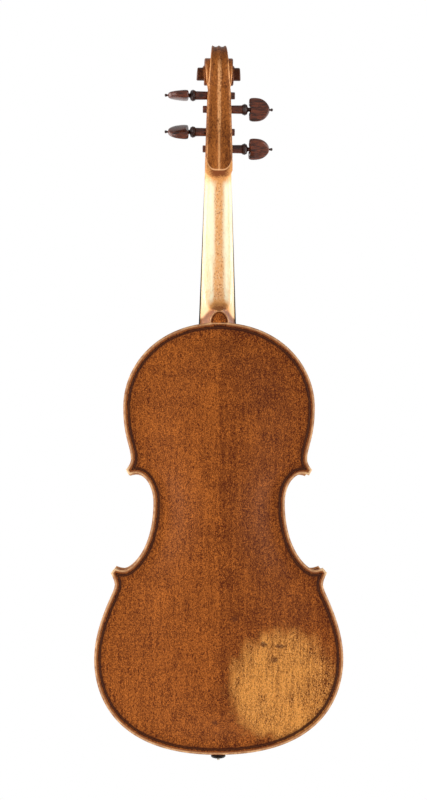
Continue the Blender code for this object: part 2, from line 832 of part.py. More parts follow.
# Head of a peg: place along its axis, half width, half thickness
thumbStations = [
    (0.0296, 0.0023, 0.0023),
    (0.0312, 0.0070, 0.0030),
    (0.0335, 0.0101, 0.0033),
    (0.0370, 0.0115, 0.0034),
    (0.0405, 0.0107, 0.0036),
    (0.0440, 0.0085, 0.0040),
    (0.0468, 0.0056, 0.0042),
    (0.0486, 0.0026, 0.0030),
]
thumbSides = 12


def thumbMesh():
    """The heart-shaped head of a peg: a flat leaf, thick in the middle and thin at its rim."""
    sections = []
    for height, wide, thick in thumbStations:
        section = []
        for k in range(thumbSides):
            spin = 2 * math.pi * k / thumbSides
            c, s = math.cos(spin), math.sin(spin)
            across = wide * math.copysign(abs(c) ** 0.9, c)
            out = thick * math.copysign(abs(s) ** 0.9, s) * (1 - 0.35 * c * c)
            section.append((across, out, height))
        sections.append(section)
    return loftMesh(sections)


def pegRadiusAt(along):
    """The radius of a peg's shank so far from its axis point, positive towards its head."""
    share = (along + pegTipAt) / (pegCollarAt + pegTipAt)
    return pegRadiusTip + (pegRadiusHead - pegRadiusTip) * share


pegAxes, pegObjects = {}, {}
holeReach = 0.030
for note, (u, v, side, degrees) in pegs.items():
    y, z = onNeck(u, v)
    axis = adopt(f"peg_{note}_axis", None, None)
    axis.location = (0, y, z)
    # The head starts face-on to the back, and the turn lays it flat.
    turn = Matrix.Rotation(math.radians(90 - degrees) * side, 3, "X")
    lay = (turn @ Matrix.Rotation(side * math.pi / 2, 3, "Y")).to_euler()
    peg = turned(f"peg_{note}", pegProfile, 12, "rosewood", axis)
    thumb = place(f"peg_{note}_thumb", thumbMesh(), None, axis)
    peg.rotation_euler = thumb.rotation_euler = lay
    boolean(peg, thumb, "UNION")
    ends = [(side * reach, y, z) for reach in (holeReach, -holeReach)]
    radii = [pegRadiusAt(reach) + pegClearance for reach in (holeReach, -holeReach)]
    boolean(neck, place(f"peg_{note}_hole", rodMesh(*ends, *radii, 14), None))
    pegAxes[note], pegObjects[note] = axis, peg

# Root of the neck, let into the belly, the ribs and the top block
rootFrontY = glueLine(bodyLength - overhang - rootDepth)


def rootHalf(y):
    share = (y - rootFrontY) / (backGlue - rootFrontY)
    return bodyHalfWidth * 1.02 + (heelWidthAtButton - bodyHalfWidth * 1.02) * share + rootClearance


def rootMesh():
    low = bodyLength - overhang - rootDepth - rootClearance
    sections = []
    for y in (-0.030, backGlue + 0.002):
        x = rootHalf(y)
        sections.append([(-x, y, low), (x, y, low), (x, y, low + 0.040), (-x, y, low + 0.040)])
    return loftMesh(sections)


rootCutter = place("root_cutter", rootMesh(), None)
upperRibs = [ribs["rib_upper_bass"], ribs["rib_upper_treble"]]
for thing in (*bellies, *bellyPurflings, neckBlock, *upperRibs):
    boolean(thing, rootCutter)


# Sound holes
def smoothRun(points, steps):
    """A smooth run through points, each a tuple of values, with so many steps between two."""
    points = np.array(points, float)
    slopes = np.gradient(points, axis=0)
    out = []
    for i in range(len(points) - 1):
        for t in np.arange(steps) / steps:
            a = (1 + 2 * t) * (1 - t) ** 2 * points[i] + t * t * (3 - 2 * t) * points[i + 1]
            b = t * (1 - t) ** 2 * slopes[i] + t * t * (t - 1) * slopes[i + 1]
            out.append(a + b)
    return np.array(out + [points[-1]])


# Centre line of a sound hole: out from the centre joint, up from the bridge line, half width
soundHoleLine = [
    (0.0268, 0.0318, 0.0010),
    (0.0278, 0.0372, 0.0010),
    (0.0318, 0.0388, 0.0012),
    (0.0356, 0.0325, 0.0019),
    (0.0390, 0.0190, 0.0029),
    (0.0425, 0.0000, 0.0036),
    (0.0464, -0.0190, 0.0029),
    (0.0500, -0.0315, 0.0019),
    (0.0540, -0.0385, 0.0012),
    (0.0590, -0.0375, 0.0010),
    (0.0606, -0.0310, 0.0010),
]
upperEye = (0.0292, 0.0300, 0.0038)
lowerEye = (0.0578, -0.0290, 0.0048)
nickShare, nickHalf = 0.39, 0.0013
line = smoothRun(soundHoleLine, 2)
way = np.gradient(line[:, :2], axis=0)
way /= np.linalg.norm(way, axis=1)[:, None]
across = np.column_stack([way[:, 1], -way[:, 0]]) * line[:, 2:]


def soundHoleEdge(sign):
    """One edge of the slot, with the nick that marks the bridge line."""
    points = list(line[:, :2] + sign * across)
    middle = len(points) // 2
    step = way[middle] * nickHalf
    tip = points[middle] + sign * across[middle] * nickShare
    points[middle : middle + 1] = [points[middle] - step, tip, points[middle] + step]
    return points


soundHole = soundHoleEdge(1) + soundHoleEdge(-1)[::-1]
# The cutters pass through the plate by unlike lengths, so that no two end faces coincide.
for belly, side, hand in ((bellies[0], -1, "bass"), (bellies[1], 1, "treble")):
    placed = [(side * x, bridgeZ + z) for x, z in soundHole]
    cutters = [prismMesh(placed, -0.030, 0.010)]
    for x, z, radius in (upperEye, lowerEye):
        ends = [(side * x, y, bridgeZ + z) for y in (-0.031, 0.011)]
        cutters.append(rodMesh(*ends, radius, radius, 14))
    for part, mesh in zip(("line", "upper_eye", "lower_eye"), cutters):
        boolean(belly, place(f"sound_hole_{part}_{hand}", mesh, None))

# Saddle, let into the belly's lower edge
notchHalf, notchDepth = saddleHalfWidth + fitClearance, saddleDepth + fitClearance
saddleNotch = boxMesh((-notchHalf, -0.030, -0.010), (notchHalf, 0.030, notchDepth))
saddleCutter = place("saddle_notch", saddleNotch, None)
for thing in (*bellies, *bellyPurflings):
    boolean(thing, saddleCutter)
saddleSections = []
saddleCrown = ((1, 0.0004), (0.69, 0.0028), (0.34, 0.0032))
saddleLine = [(-share, height) for share, height in saddleCrown] + list(saddleCrown[::-1])
for share, height in saddleLine:
    x = saddleHalfWidth * share
    saddleSections.append(
        [
            (x, bellyGlue, 0.0008),
            (x, -height + 0.0013, 0.0008),
            (x, -height, 0.0020),
            (x, -height + 0.0004, 0.0044),
            (x, min(0.0004, 0.0030 - height), saddleDepth),
            (x, bellyGlue, saddleDepth),
        ]
    )
place("saddle", loftMesh(saddleSections), "ebony")

# End button, its hole, and the tail cord looped in its groove
buttonY = bellyGlue + ribHeight / 2
buttonProfile = [
    (0.0000, 0.0185),
    (0.0033, 0.0185),
    (0.0038, 0.0030),
    (0.0040, 0.0026),
    (0.0056, 0.0024),
    (0.0058, 0.0012),
    (0.0040, 0.0002),
    (0.0038, -0.0012),
    (0.0042, -0.0026),
    (endButtonRadius, -0.0033),
    (endButtonRadius + 0.0003, -0.0044),
    (0.0058, -0.0058),
    (0.0036, -0.0064),
    (0.0013, -0.0066),
    (0.0012, -0.0080),
    (0.0000, -0.0080),
]
endButton = turned("end_button", buttonProfile, 12, "ebony")
endButton.location = (0, buttonY, 0)
buttonHole = rodMesh((0, buttonY, 0.0300), (0, buttonY, -0.010), 0.0035, 0.0044, 16)
buttonHoleCutter = place("end_button_hole", buttonHole, None)
for thing in (endBlock, ribs["rib_lower_bass"], ribs["rib_lower_treble"]):
    boolean(thing, buttonHoleCutter)

# Tailpiece: share of its length, half width, underside y, thickness
tailpieceStations = [
    (0.000, 0.0105, -0.0088, 0.0050),
    (0.018, 0.0122, -0.0090, 0.0066),
    (0.228, 0.0148, -0.0128, 0.0078),
    (0.491, 0.0182, -0.0180, 0.0082),
    (0.754, 0.0216, -0.0232, 0.0082),
    (0.912, 0.0232, -0.0262, 0.0076),
    (1.000, 0.0226, -0.0280, 0.0058),
]
halfShape = ((1, 0.35), (0.93, 0.55), (0.55, 0.86), (0, 1))
tailpieceShape = halfShape + tuple((-across, high) for across, high in halfShape[-2::-1])


def tailpieceAt(z):
    share = (z - tailpieceBottom) / tailpieceLength
    columns = np.array(tailpieceStations)
    return [np.interp(share, columns[:, 0], columns[:, k]) for k in (1, 2, 3)]


def tailpieceTop(x, z):
    half, under, thick = tailpieceAt(z)
    across, high = zip(*tailpieceShape[::-1])
    return under - thick * np.interp(x / half, across, high)


sections = []
for share, half, under, thick in tailpieceStations:
    z = tailpieceBottom + tailpieceLength * share
    section = [(half * across, under - thick * high, z) for across, high in tailpieceShape]
    for across, hollow in ((-1, 0), (-0.5, 0.0008), (0.5, 0.0008), (1, 0)):
        section.append((half * across, under - hollow, z))
    sections.append(section)
tailpiece = place("tailpiece", loftMesh(sections), "ebony")
fretZ = tailpieceBottom + tailpieceLength - fretBelowTop
slotZ = fretZ - slotBelowFret
tailXs = {note: at[1] * 0.80 for note, at in strings.items()}
for note, x in tailXs.items():
    top, under = tailpieceTop(x, slotZ), tailpieceAt(slotZ)[1]
    hole = rodMesh((x, top - 0.003, slotZ), (x, under + 0.003, slotZ), 0.0019, 0.0019, 12)
    boolean(tailpiece, place(f"tail_hole_{note}", hole, None))
    slot = boxMesh((x - 0.0009, top - 0.004, slotZ), (x + 0.0009, under + 0.004, slotZ + 0.0060))
    boolean(tailpiece, place(f"tail_slot_{note}", slot, None))
fretSections = []
for x in np.linspace(-0.0185, 0.0185, 9):
    foot = tailpieceTop(x, fretZ) - 0.0003
    rise = 0.0020 if abs(x) < 0.018 else 0.0010
    fretSections.append(
        [
            (x, foot, fretZ - 0.0011),
            (x, foot - rise + 0.0005, fretZ - 0.0010),
            (x, foot - rise, fretZ),
            (x, foot - rise + 0.0005, fretZ + 0.0010),
            (x, foot - 0.0002, fretZ + 0.0011),
        ]
    )
place("tailpiece_fret", loftMesh(fretSections), "ebony")

cordRadius = 0.0008
cordHalf = 0.0052
cordZ = -0.0012
cordHoleRadius = cordRadius + fitClearance
for hand, x in (("bass", -cordHalf), ("treble", cordHalf)):
    hole = rodMesh((x, -0.0122, 0.0060), (x, -0.0132, 0.0240), cordHoleRadius, cordHoleRadius, 10)
    boolean(tailpiece, place(f"cord_hole_{hand}", hole, None))
half = [
    (-cordHalf, -0.0131, 0.0200),
    (-cordHalf, -0.0124, 0.0090),
    (-cordHalf, -0.0080, 0.0050),
    (-cordHalf, -0.0045, 0.0026),
    (-cordHalf, -0.0038, 0.0012),
    (-cordHalf, -0.0022, 0.0000),
    (-cordHalf, -0.0005, cordZ + 0.0002),
    (-cordHalf, 0.0030, cordZ),
    (-cordHalf, 0.0120, cordZ),
    (-cordHalf, buttonY, cordZ),
]
bend = []
for k in range(1, 8):
    spin = math.pi * k / 8
    bend.append((-cordHalf * math.cos(spin), buttonY + cordHalf * math.sin(spin), cordZ))
otherHalf = [(-x, y, z) for x, y, z in half[::-1]]
tube("tail_cord", half + bend + otherHalf, cordRadius, "tail cord", 1)


# Surfaces of the plates, for what stands on them
def treeOf(things):
    points, faces = [], []
    for thing in things:
        base = len(points)
        points += [tuple(vertex.co) for vertex in thing.data.vertices]
        faces += [[base + i for i in face.vertices] for face in thing.data.polygons]
    return BVHTree.FromPolygons(points, faces)


bellyTree = treeOf(bellies)
backTree = treeOf(backs)


def insideY(tree, x, z, towards):
    hit = tree.ray_cast(Vector((x, buttonY, z)), Vector((0, towards, 0)))
    return hit[0].y


def bellyTopY(x, z):
    return bellyTree.ray_cast(Vector((x, -0.1, z)), Vector((0, 1, 0)))[0].y


# Bass bar
barSections = []
for k in range(13):
    z = bodyLength * (barEnds[0] + (barEnds[1] - barEnds[0]) * k / 12)
    ys = [insideY(bellyTree, barX + across, z, -1) for across in (-barHalfWidth, barHalfWidth)]
    height = 0.0030 + 0.0085 * math.sin(math.pi * k / 12) ** 1.2
    base = max(ys) + height
    barSections.append(
        [
            (barX - barHalfWidth, ys[0] + 0.0003, z),
            (barX + barHalfWidth, ys[1] + 0.0003, z),
            (barX + barHalfWidth, base - 0.0012, z),
            (barX, base, z),
            (barX - barHalfWidth, base - 0.0012, z),
        ]
    )
place("bass_bar", loftMesh(barSections), "plain spruce")

# Sound post, behind the bridge's treble foot
postZ = bridgeZ - 0.0090
low, high = [], []
for k in range(12):
    spin = 2 * math.pi * k / 12
    x, z = soundPostX + soundPostRadius * math.cos(spin), postZ + soundPostRadius * math.sin(spin)
    low.append((x, insideY(bellyTree, x, z, -1) + 0.0003, z))
    high.append((x, insideY(backTree, x, z, 1) - 0.0003, z))
place("sound_post", loftMesh([low, high]), "plain spruce")


# Bridge
def bridgeTop(x):
    return bridgeTopY + bridgeRadius - math.sqrt(bridgeRadius**2 - x * x) + 0.03 * x


bridgeFoot = bellyTopY(0.0001, bridgeZ)
# Half outline from the foot to the top: out from the centre, up from the belly's crown
bridgeSide = [
    (0.0238, 0.0025),
    (0.0205, 0.0052),
    (0.0178, 0.0088),
    (0.0180, 0.0125),
    (0.0206, 0.0150),
    (0.0226, 0.0160),
    (0.0226, 0.0176),
    (0.0196, 0.0192),
    (0.0142, 0.0180),
    (0.0112, 0.0190),
    (0.0104, 0.0208),
    (0.0116, 0.0224),
    (0.0150, 0.0226),
    (0.0200, 0.0236),
    (0.0217, 0.0256),
    (0.0222, 0.0290),
]
bridgeArch = [
    (0.0122, 0.0018),
    (0.0100, 0.0045),
    (0.0100, 0.0085),
    (0.0072, 0.0112),
    (0.0030, 0.0122),
]


def feetY(x):
    return min(bellyTopY(x, bridgeZ + dz) for dz in (-0.0024, 0, 0.0024)) - 0.0003


def bridgeHalf(sign):
    feet = [(sign * x, feetY(sign * x)) for x in (0.0120, 0.0160, 0.0200, bridgeHalfFeet)]
    sides = [(sign * x, bridgeFoot - h) for x, h in bridgeSide]
    top = [(sign * x, bridgeTop(sign * x)) for x in (0.0215, 0.0175, 0.0130, 0.0085, 0.0042)]
    arch = [(sign * x, bridgeFoot - h) for x, h in bridgeArch]
    return arch[::-1] + feet + sides + top


outline = bridgeHalf(1) + [(0, bridgeTop(0))] + bridgeHalf(-1)[::-1]


def bridgeThickness(y):
    share = (bridgeFoot - y) / (bridgeFoot - bridgeTopY)
    return 0.0023 + (0.0008 - 0.0023) * share


sections = [[(x, y, bridgeZ + sign * bridgeThickness(y)) for x, y in outline] for sign in (-1, 1)]
bridge = place("bridge", loftMesh(sections), "bridge maple")
heart = [
    (0, 0.0178),
    (0.0040, 0.0218),
    (0.0044, 0.0238),
    (0.0024, 0.0252),
    (0, 0.0240),
    (-0.0024, 0.0252),
    (-0.0044, 0.0238),
    (-0.0040, 0.0218),
]
heartSections = [[(x, bridgeFoot - h, bridgeZ + dz) for x, h in heart] for dz in (-0.006, 0.006)]
boolean(bridge, place("bridge_heart", loftMesh(heartSections), None))


# Fingerboard and nut
def boardTop(x):
    return boardEdge + math.sqrt(boardRadius**2 - x * x)


def boardSection(u, half, hollow):
    crown = boardRadius * math.cos(math.asin(half / boardRadius))
    section = [(half, *onNeck(u, -glueGap)), (half * 0.80, *onNeck(u, -glueGap - hollow))]
    section += [(-half * 0.80, *onNeck(u, -glueGap - hollow)), (-half, *onNeck(u, -glueGap))]
    for k in range(9):
        x = -half + 2 * half * k / 8
        rise = boardEdge + math.sqrt(boardRadius**2 - x * x) - crown
        section.append((x, *onNeck(u, -rise)))
    return section


gluedShare = neckLength / boardLength
boardHollow = ((0, 0), (gluedShare, 0), (gluedShare + 0.04, 0.0010), (0.75, 0.0032), (1, 0.0036))
boardSections = []
for share, hollow in boardHollow:
    half = nutHalfWidth + (boardEndHalfWidth - nutHalfWidth) * share
    boardSections.append(boardSection(-0.0002 - boardLength * share, half, hollow))
place("fingerboard", loftMesh(boardSections), "ebony")


def nutTop(x):
    crown = math.sqrt(boardRadius**2 - nutHalfWidth**2)
    return boardEdge + math.sqrt(boardRadius**2 - x * x) - crown + nutAboveBoard


grooveDepth = 0.0005
nutLine = [(-nutHalfWidth, 0.0002), (-nutHalfWidth, boardEdge)]
for note, (x, _, radius) in strings.items():
    wide = radius + 0.0002
    if x == strings["g"][0]:
        nutLine.append(((strings["c"][0] + x) / 2, nutTop(x) - 0.0002))
    if x == strings["d"][0]:
        nutLine.append((0, nutTop(0)))
    if x == strings["a"][0]:
        nutLine.append(((strings["d"][0] + x) / 2, nutTop(x) - 0.0002))
    nutLine += [
        (x - wide, nutTop(x - wide)),
        (x - wide * 0.8, nutTop(x) - grooveDepth),
        (x + wide * 0.8, nutTop(x) - grooveDepth),
        (x + wide, nutTop(x + wide)),
    ]
nutLine += [(nutHalfWidth, boardEdge), (nutHalfWidth, 0.0002)]
nutSections = []
for u, lower in ((0.0002, 0), (nutLength / 2, 0.0001), (nutLength, nutFall)):
    nutSections.append([(x, *onNeck(u, -v + (lower if v > boardEdge else 0))) for x, v in nutLine])
place("nut", loftMesh(nutSections), "ebony")


# Strings and their windings
def windingOf(note):
    """The coil of a string on its peg, from the tangent of the string to the hole in the peg."""
    u, v, side, _ = pegs[note]
    nutX, _, radius = strings[note]
    pitch = 2 * radius + windingGap
    leaveAt = min(0.0052, mortiseHalfTop - radius - 0.0006)
    leave = side * leaveAt
    reach = pegRadiusAt(leaveAt) + fitClearance + radius
    startU, startV = nutLength, -nutTop(nutX) + grooveDepth + nutFall - radius - 0.0002
    aim = math.atan2(v - startV, u - startU)
    distance = math.hypot(u - startU, v - startV)
    tangent = aim - math.asin(reach / distance)
    points = []
    # The coil starts one pitch beside the string's end, so that it turns clear of the string.
    for k in range(loopPoints * windingLoops + 1):
        turns = k / loopPoints
        spin = tangent + 2 * math.pi * turns
        x = leave - side * pitch * (1 + turns)
        points.append((x, u + reach * math.sin(spin), v - reach * math.cos(spin)))
    x, last = points[-1][0] - side * 0.0001, tangent + 2 * math.pi * windingLoops
    holeSpin = last + 0.30
    for spin, part in ((last + 0.16, 0.985), (last + 0.28, 0.90), (holeSpin, 0.70), (holeSpin, 0.40)):
        size = reach * part
        points.append((x, u + size * math.sin(spin), v - size * math.cos(spin)))
    return [(x, *onNeck(a, b)) for x, a, b in points], (startU, startV), (x, holeSpin)


for note, (nutX, bridgeX, radius) in strings.items():
    u, v, side, _ = pegs[note]
    coil, (backU, backV), (holeX, holeSpin) = windingOf(note)
    nutBack = Vector((nutX, *onNeck(backU, backV)))
    touch = Vector(coil[0]) + Vector((side * (2 * radius + windingGap), 0, 0))
    path = np.array(coil)
    gaps = []
    apart = loopPoints * 2 // 3
    for i in range(len(path) - apart):
        gaps.append(np.linalg.norm(path[i + apart :] - path[i], axis=1).min())
    print(f"{note} string winding: least gap to itself {1000 * (min(gaps) - 2 * radius):.2f} mm")
    coilOnPeg = [Vector(point) - pegAxes[note].location for point in coil]
    tube(f"winding_{note}", coilOnPeg, radius, "string metal", 1, pegAxes[note])
    outer = (holeX, *onNeck(u + 0.009 * math.sin(holeSpin), v - 0.009 * math.cos(holeSpin)))
    inner = (holeX, *onNeck(u, v))
    hole = rodMesh(inner, outer, radius + fitClearance, radius + fitClearance, 10)
    boolean(pegObjects[note], place(f"winding_{note}_hole", hole, None))

    tailX = tailXs[note]
    top, under = tailpieceTop(tailX, slotZ), tailpieceAt(slotZ)[1]
    bridgeY = bridgeTop(bridgeX) - radius - 0.0003
    groove = nutTop(nutX) - grooveDepth
    fretY = tailpieceTop(tailX, fretZ) - 0.0023 - radius - 0.0003
    route = [
        (tailX, under + 0.0016, slotZ),
        (tailX, under - 0.0010, slotZ),
        (tailX, top - 0.0004, slotZ + 0.0008),
        (tailX, fretY, fretZ - 0.0004),
        (tailX, fretY, fretZ + 0.0010),
        (bridgeX, bridgeY, bridgeZ - 0.0011),
        (bridgeX, bridgeY, bridgeZ + 0.0011),
        (nutX, *onNeck(-0.0002, -groove - radius - 0.0002)),
        (nutX, *onNeck(nutLength / 2, -groove - radius - 0.0001)),
        tuple(nutBack),
        tuple(touch),
    ]
    tube(f"string_{note}", route, radius, "string metal", 1)
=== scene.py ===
import json
import math

import bmesh
import bpy
import numpy as np
from mathutils import Matrix, Vector
from mathutils.bvhtree import BVHTree
from mathutils.kdtree import KDTree

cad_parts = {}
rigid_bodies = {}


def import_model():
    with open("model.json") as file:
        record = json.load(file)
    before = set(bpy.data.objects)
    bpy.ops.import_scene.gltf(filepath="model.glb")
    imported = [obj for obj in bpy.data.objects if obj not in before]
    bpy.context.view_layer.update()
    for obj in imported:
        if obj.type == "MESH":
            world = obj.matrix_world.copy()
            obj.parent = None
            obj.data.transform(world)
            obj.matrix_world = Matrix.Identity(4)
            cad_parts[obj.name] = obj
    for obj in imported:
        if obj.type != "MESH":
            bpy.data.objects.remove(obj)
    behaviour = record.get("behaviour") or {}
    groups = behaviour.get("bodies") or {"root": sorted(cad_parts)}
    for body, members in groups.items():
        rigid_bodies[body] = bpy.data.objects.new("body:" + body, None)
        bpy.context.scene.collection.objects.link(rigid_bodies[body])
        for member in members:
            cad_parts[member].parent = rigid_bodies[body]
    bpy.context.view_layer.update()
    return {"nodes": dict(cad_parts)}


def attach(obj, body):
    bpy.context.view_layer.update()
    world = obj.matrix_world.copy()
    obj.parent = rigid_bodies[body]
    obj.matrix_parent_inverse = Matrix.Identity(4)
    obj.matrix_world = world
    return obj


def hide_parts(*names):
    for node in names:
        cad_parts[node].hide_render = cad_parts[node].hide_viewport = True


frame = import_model()
for name in ("Cube", "Light", "Camera"):
    if name in bpy.data.objects:
        bpy.data.objects.remove(bpy.data.objects[name])
print("frame loaded")

viola = bpy.data.collections.new("viola")
bpy.context.scene.collection.children.link(viola)


# Drawing frame: z = 0 at the body's lower edge, y = 0 at the belly's edge, x = 0 on the joint.
# The model's origin is the scroll's throat, so every finished mesh is moved there once.
body = {
    "length": 0.400, "ribHeight": 0.037, "edge": 0.0043, "overhang": 0.003,
    "ribThickness": 0.0012, "channelLift": 0.0034, "archInset": 0.0110,
    "archEndInset": 0.0380, "buttonHalfWidth": 0.0092, "buttonHeight": 0.0112,
    "topEnd": 0.0110, "topSteps": 16, "upperSteps": 56, "waistSteps": 44, "lowerSteps": 66,
    "ribSteps": (70, 56, 90), "backRise": 0.0160, "bellyRise": 0.0180, "backThickness": 0.0044,
    "bellyThickness": 0.0031, "stop": 0.219, "throat": (0.0735, -0.004),
}
neck = {
    "angle": math.radians(6.3), "overstand": 0.0080, "length": 0.149,
    "nutHalf": 0.01275, "bodyHalf": 0.0169, "depthAtNut": 0.0131, "depthAtBody": 0.0143,
    "heelWidth": 0.0086, "rootDepth": 0.0070, "softness": 0.89, "edgeBreak": 0.0014, "flute": 0.0013,
}
bellyGlue = body["edge"]
backGlue = bellyGlue + body["ribHeight"]
bridgeZ = body["length"] - body["stop"]
nutZ = body["length"] + neck["length"]
lean = (math.sin(neck["angle"]), math.cos(neck["angle"]))


# u runs up the neck from the nut's lower edge, v runs into it from the fingerboard's side
def onNeck(u, v):
    nutY = -neck["overstand"] + neck["length"] * math.tan(neck["angle"])
    return nutY + u * lean[0] + v * lean[1], nutZ + u * lean[1] - v * lean[0]


throat = onNeck(*body["throat"])
toThroat = Matrix.Translation((0, -throat[0], -throat[1]))


# Meshes
def finished(name, bm, material, sharp=38, place=toThroat):
    bmesh.ops.remove_doubles(bm, verts=bm.verts, dist=1e-6)
    bmesh.ops.dissolve_degenerate(bm, edges=bm.edges, dist=1e-7)
    bmesh.ops.recalc_face_normals(bm, faces=bm.faces)
    if bm.calc_volume(signed=True) < 0:
        bmesh.ops.reverse_faces(bm, faces=bm.faces)
    bmesh.ops.transform(bm, matrix=place, verts=bm.verts)
    mesh = bpy.data.meshes.new(name)
    bm.to_mesh(mesh)
    bm.free()
    piece = bpy.data.objects.new(name, mesh)
    viola.objects.link(piece)
    if material:
        mesh.materials.append(material)
    return shaded(piece, sharp)


def shaded(piece, sharp=38):
    piece.data.shade_smooth()
    piece.data.set_sharp_from_angle(angle=math.radians(sharp))
    return piece


def skin(bm, rows):
    # Quads between neighbouring rings of points
    for here, after in zip(rows[:-1], rows[1:]):
        for k in range(len(here)):
            m = (k + 1) % len(here)
            bm.faces.new((here[k], here[m], after[m], after[k]))


def loft(sections):
    bm = bmesh.new()
    rows = [[bm.verts.new(point) for point in section] for section in sections]
    skin(bm, rows)
    bm.faces.new(rows[0][::-1])
    bm.faces.new(rows[-1])
    return bm


def prism(outline, low, high):
    return loft([[(x, y, z) for x, z in outline] for y in (low, high)])


def rod(start, end, radius, sides=40):
    bm = bmesh.new()
    run = Vector(end) - Vector(start)
    turn = run.to_track_quat("Z", "Y").to_matrix().to_4x4()
    shape = Matrix.Translation((Vector(start) + Vector(end)) / 2) @ turn
    bmesh.ops.create_cone(
        bm, cap_ends=True, segments=sides, radius1=radius, radius2=radius,
        depth=run.length, matrix=shape,
    )
    return bm


def turnedMesh(profile, sides, capped=False):
    bm = bmesh.new()
    rows = []
    for radius, height in profile:
        spins = [2 * math.pi * k / sides for k in range(sides)]
        rows.append([bm.verts.new((radius * math.cos(a), radius * math.sin(a), height)) for a in spins])
    skin(bm, rows)
    if capped:
        bmesh.ops.holes_fill(bm, edges=bm.edges, sides=0)
    return bm


def settled(piece):
    # The evaluated mesh takes the place of the piece's own, and its modifiers go.
    bpy.context.view_layer.update()
    graph = bpy.context.evaluated_depsgraph_get()
    made = bpy.data.meshes.new_from_object(piece.evaluated_get(graph))
    piece.modifiers.clear()
    piece.data = made
    return piece


def carved(piece, cutters, operation="DIFFERENCE"):
    for cutter in cutters:
        layer = cutter.data.attributes.new("inset", "FLOAT", "POINT")
        layer.data.foreach_set("value", np.full(len(cutter.data.vertices), 0.006))
        step = piece.modifiers.new(cutter.name, "BOOLEAN")
        step.operation = operation
        step.solver = "EXACT"
        step.object = cutter
        cutter.hide_render = True
    settled(piece)
    for cutter in cutters:
        bpy.data.objects.remove(cutter)
    return piece


def cubic(t, start, end, startSlope, endSlope, width=1):
    level = (1 + 2 * t) * (1 - t) ** 2 * start + t * t * (3 - 2 * t) * end
    return level + (t * (1 - t) ** 2 * startSlope + t * t * (t - 1) * endSlope) * width


def smoothRun(points, steps):
    points = np.array(points, float)
    slopes = np.gradient(points, axis=0)
    out = []
    for i in range(len(points) - 1):
        out += [cubic(t, *points[i:i + 2], *slopes[i:i + 2]) for t in np.arange(steps) / steps]
    return np.array(out + [points[-1]])


def mirrored(points):
    # A half outline and its other half, without the two points on the joint
    return [*points, *[(-x, *rest) for x, *rest in points[-2:0:-1]]]


wear = {"angle": 28, "reach": 0.0011, "step": 0.0008, "widest": 0.0130, "ridge": 0.003}


def markEdges(piece):
    # "worn" is 1 on the convex edges and falls to 0 within the reach, or twice it near the middle
    bm = bmesh.new()
    bm.from_mesh(piece.data)
    limit = math.radians(wear["angle"])
    spots = []
    for edge in bm.edges:
        if len(edge.link_faces) == 2 and edge.is_convex and edge.calc_face_angle(0) > limit:
            a, b = (vert.co for vert in edge.verts)
            if abs(a.x - b.x) > 0.85 * (a - b).length or min(abs(a.x), abs(b.x)) > wear["widest"]:
                continue
            count = int((b - a).length / wear["step"])
            spots += [a.lerp(b, k / max(1, count)) for k in range(max(2, count))]
    tree = KDTree(len(spots))
    for i, spot in enumerate(spots):
        tree.insert(spot, i)
    tree.balance()
    worn = []
    for vert in bm.verts:
        wide = wear["reach"] * (2 if abs(vert.co.x) < wear["ridge"] else 1)
        worn.append(max(0.0, 1 - tree.find(vert.co)[2] / wide))
    bm.free()
    attribute = piece.data.attributes.new("worn", "FLOAT", "POINT")
    attribute.data.foreach_set("value", worn)


# Shader maths: a wrapped socket, so that a formula on values adds its own Math nodes
class Wire:
    def __init__(self, recipe, socket):
        self.recipe = recipe
        self.socket = socket

    def maths(self, operation, *values):
        return self.recipe.maths(operation, *values)

    def __add__(self, other):
        return self.maths("ADD", self, other)

    def __sub__(self, other):
        return self.maths("SUBTRACT", self, other)

    def __rsub__(self, other):
        return self.maths("SUBTRACT", other, self)

    def __mul__(self, other):
        return self.maths("MULTIPLY", self, other)

    def __truediv__(self, other):
        return self.maths("DIVIDE", self, other)

    def __rtruediv__(self, other):
        return self.maths("DIVIDE", other, self)

    __radd__ = __add__
    __rmul__ = __mul__

    def power(self, other):
        return self.maths("POWER", self, other)

    def lowest(self, other):
        return self.maths("MINIMUM", self, other)

    def highest(self, other):
        return self.maths("MAXIMUM", self, other)

    def size(self):
        return self.maths("ABSOLUTE", self)

    def sway(self, amount):
        # A noise's wander round its middle value
        return (self - 0.5) * amount

    def between(self, low, high, softly=True):
        # 0 at low, 1 at high
        settings = {"interpolation_type": "SMOOTHSTEP" if softly else "LINEAR"}
        values = {"Value": self, "From Min": low, "From Max": high, "To Min": 0.0, "To Max": 1.0}
        return self.recipe.node("ShaderNodeMapRange", settings, values)

    def past(self, low, high):
        # 1 at low, 0 at high
        return 1 - self.between(low, high)

    def share(self, low=0.0, high=1.0):
        # The same in a straight line
        return self.between(low, high, False)

    def bump(self, low, high, soft):
        # 1 between low and high
        return self.between(low - soft, low + soft) * self.past(high - soft, high + soft)


def distance(across, along, flatten=1):
    # From a pattern's own middle; flatten below 1 stretches it along x
    squared = across * across if flatten == 1 else across * across * flatten
    return (squared + along * along).power(0.5)


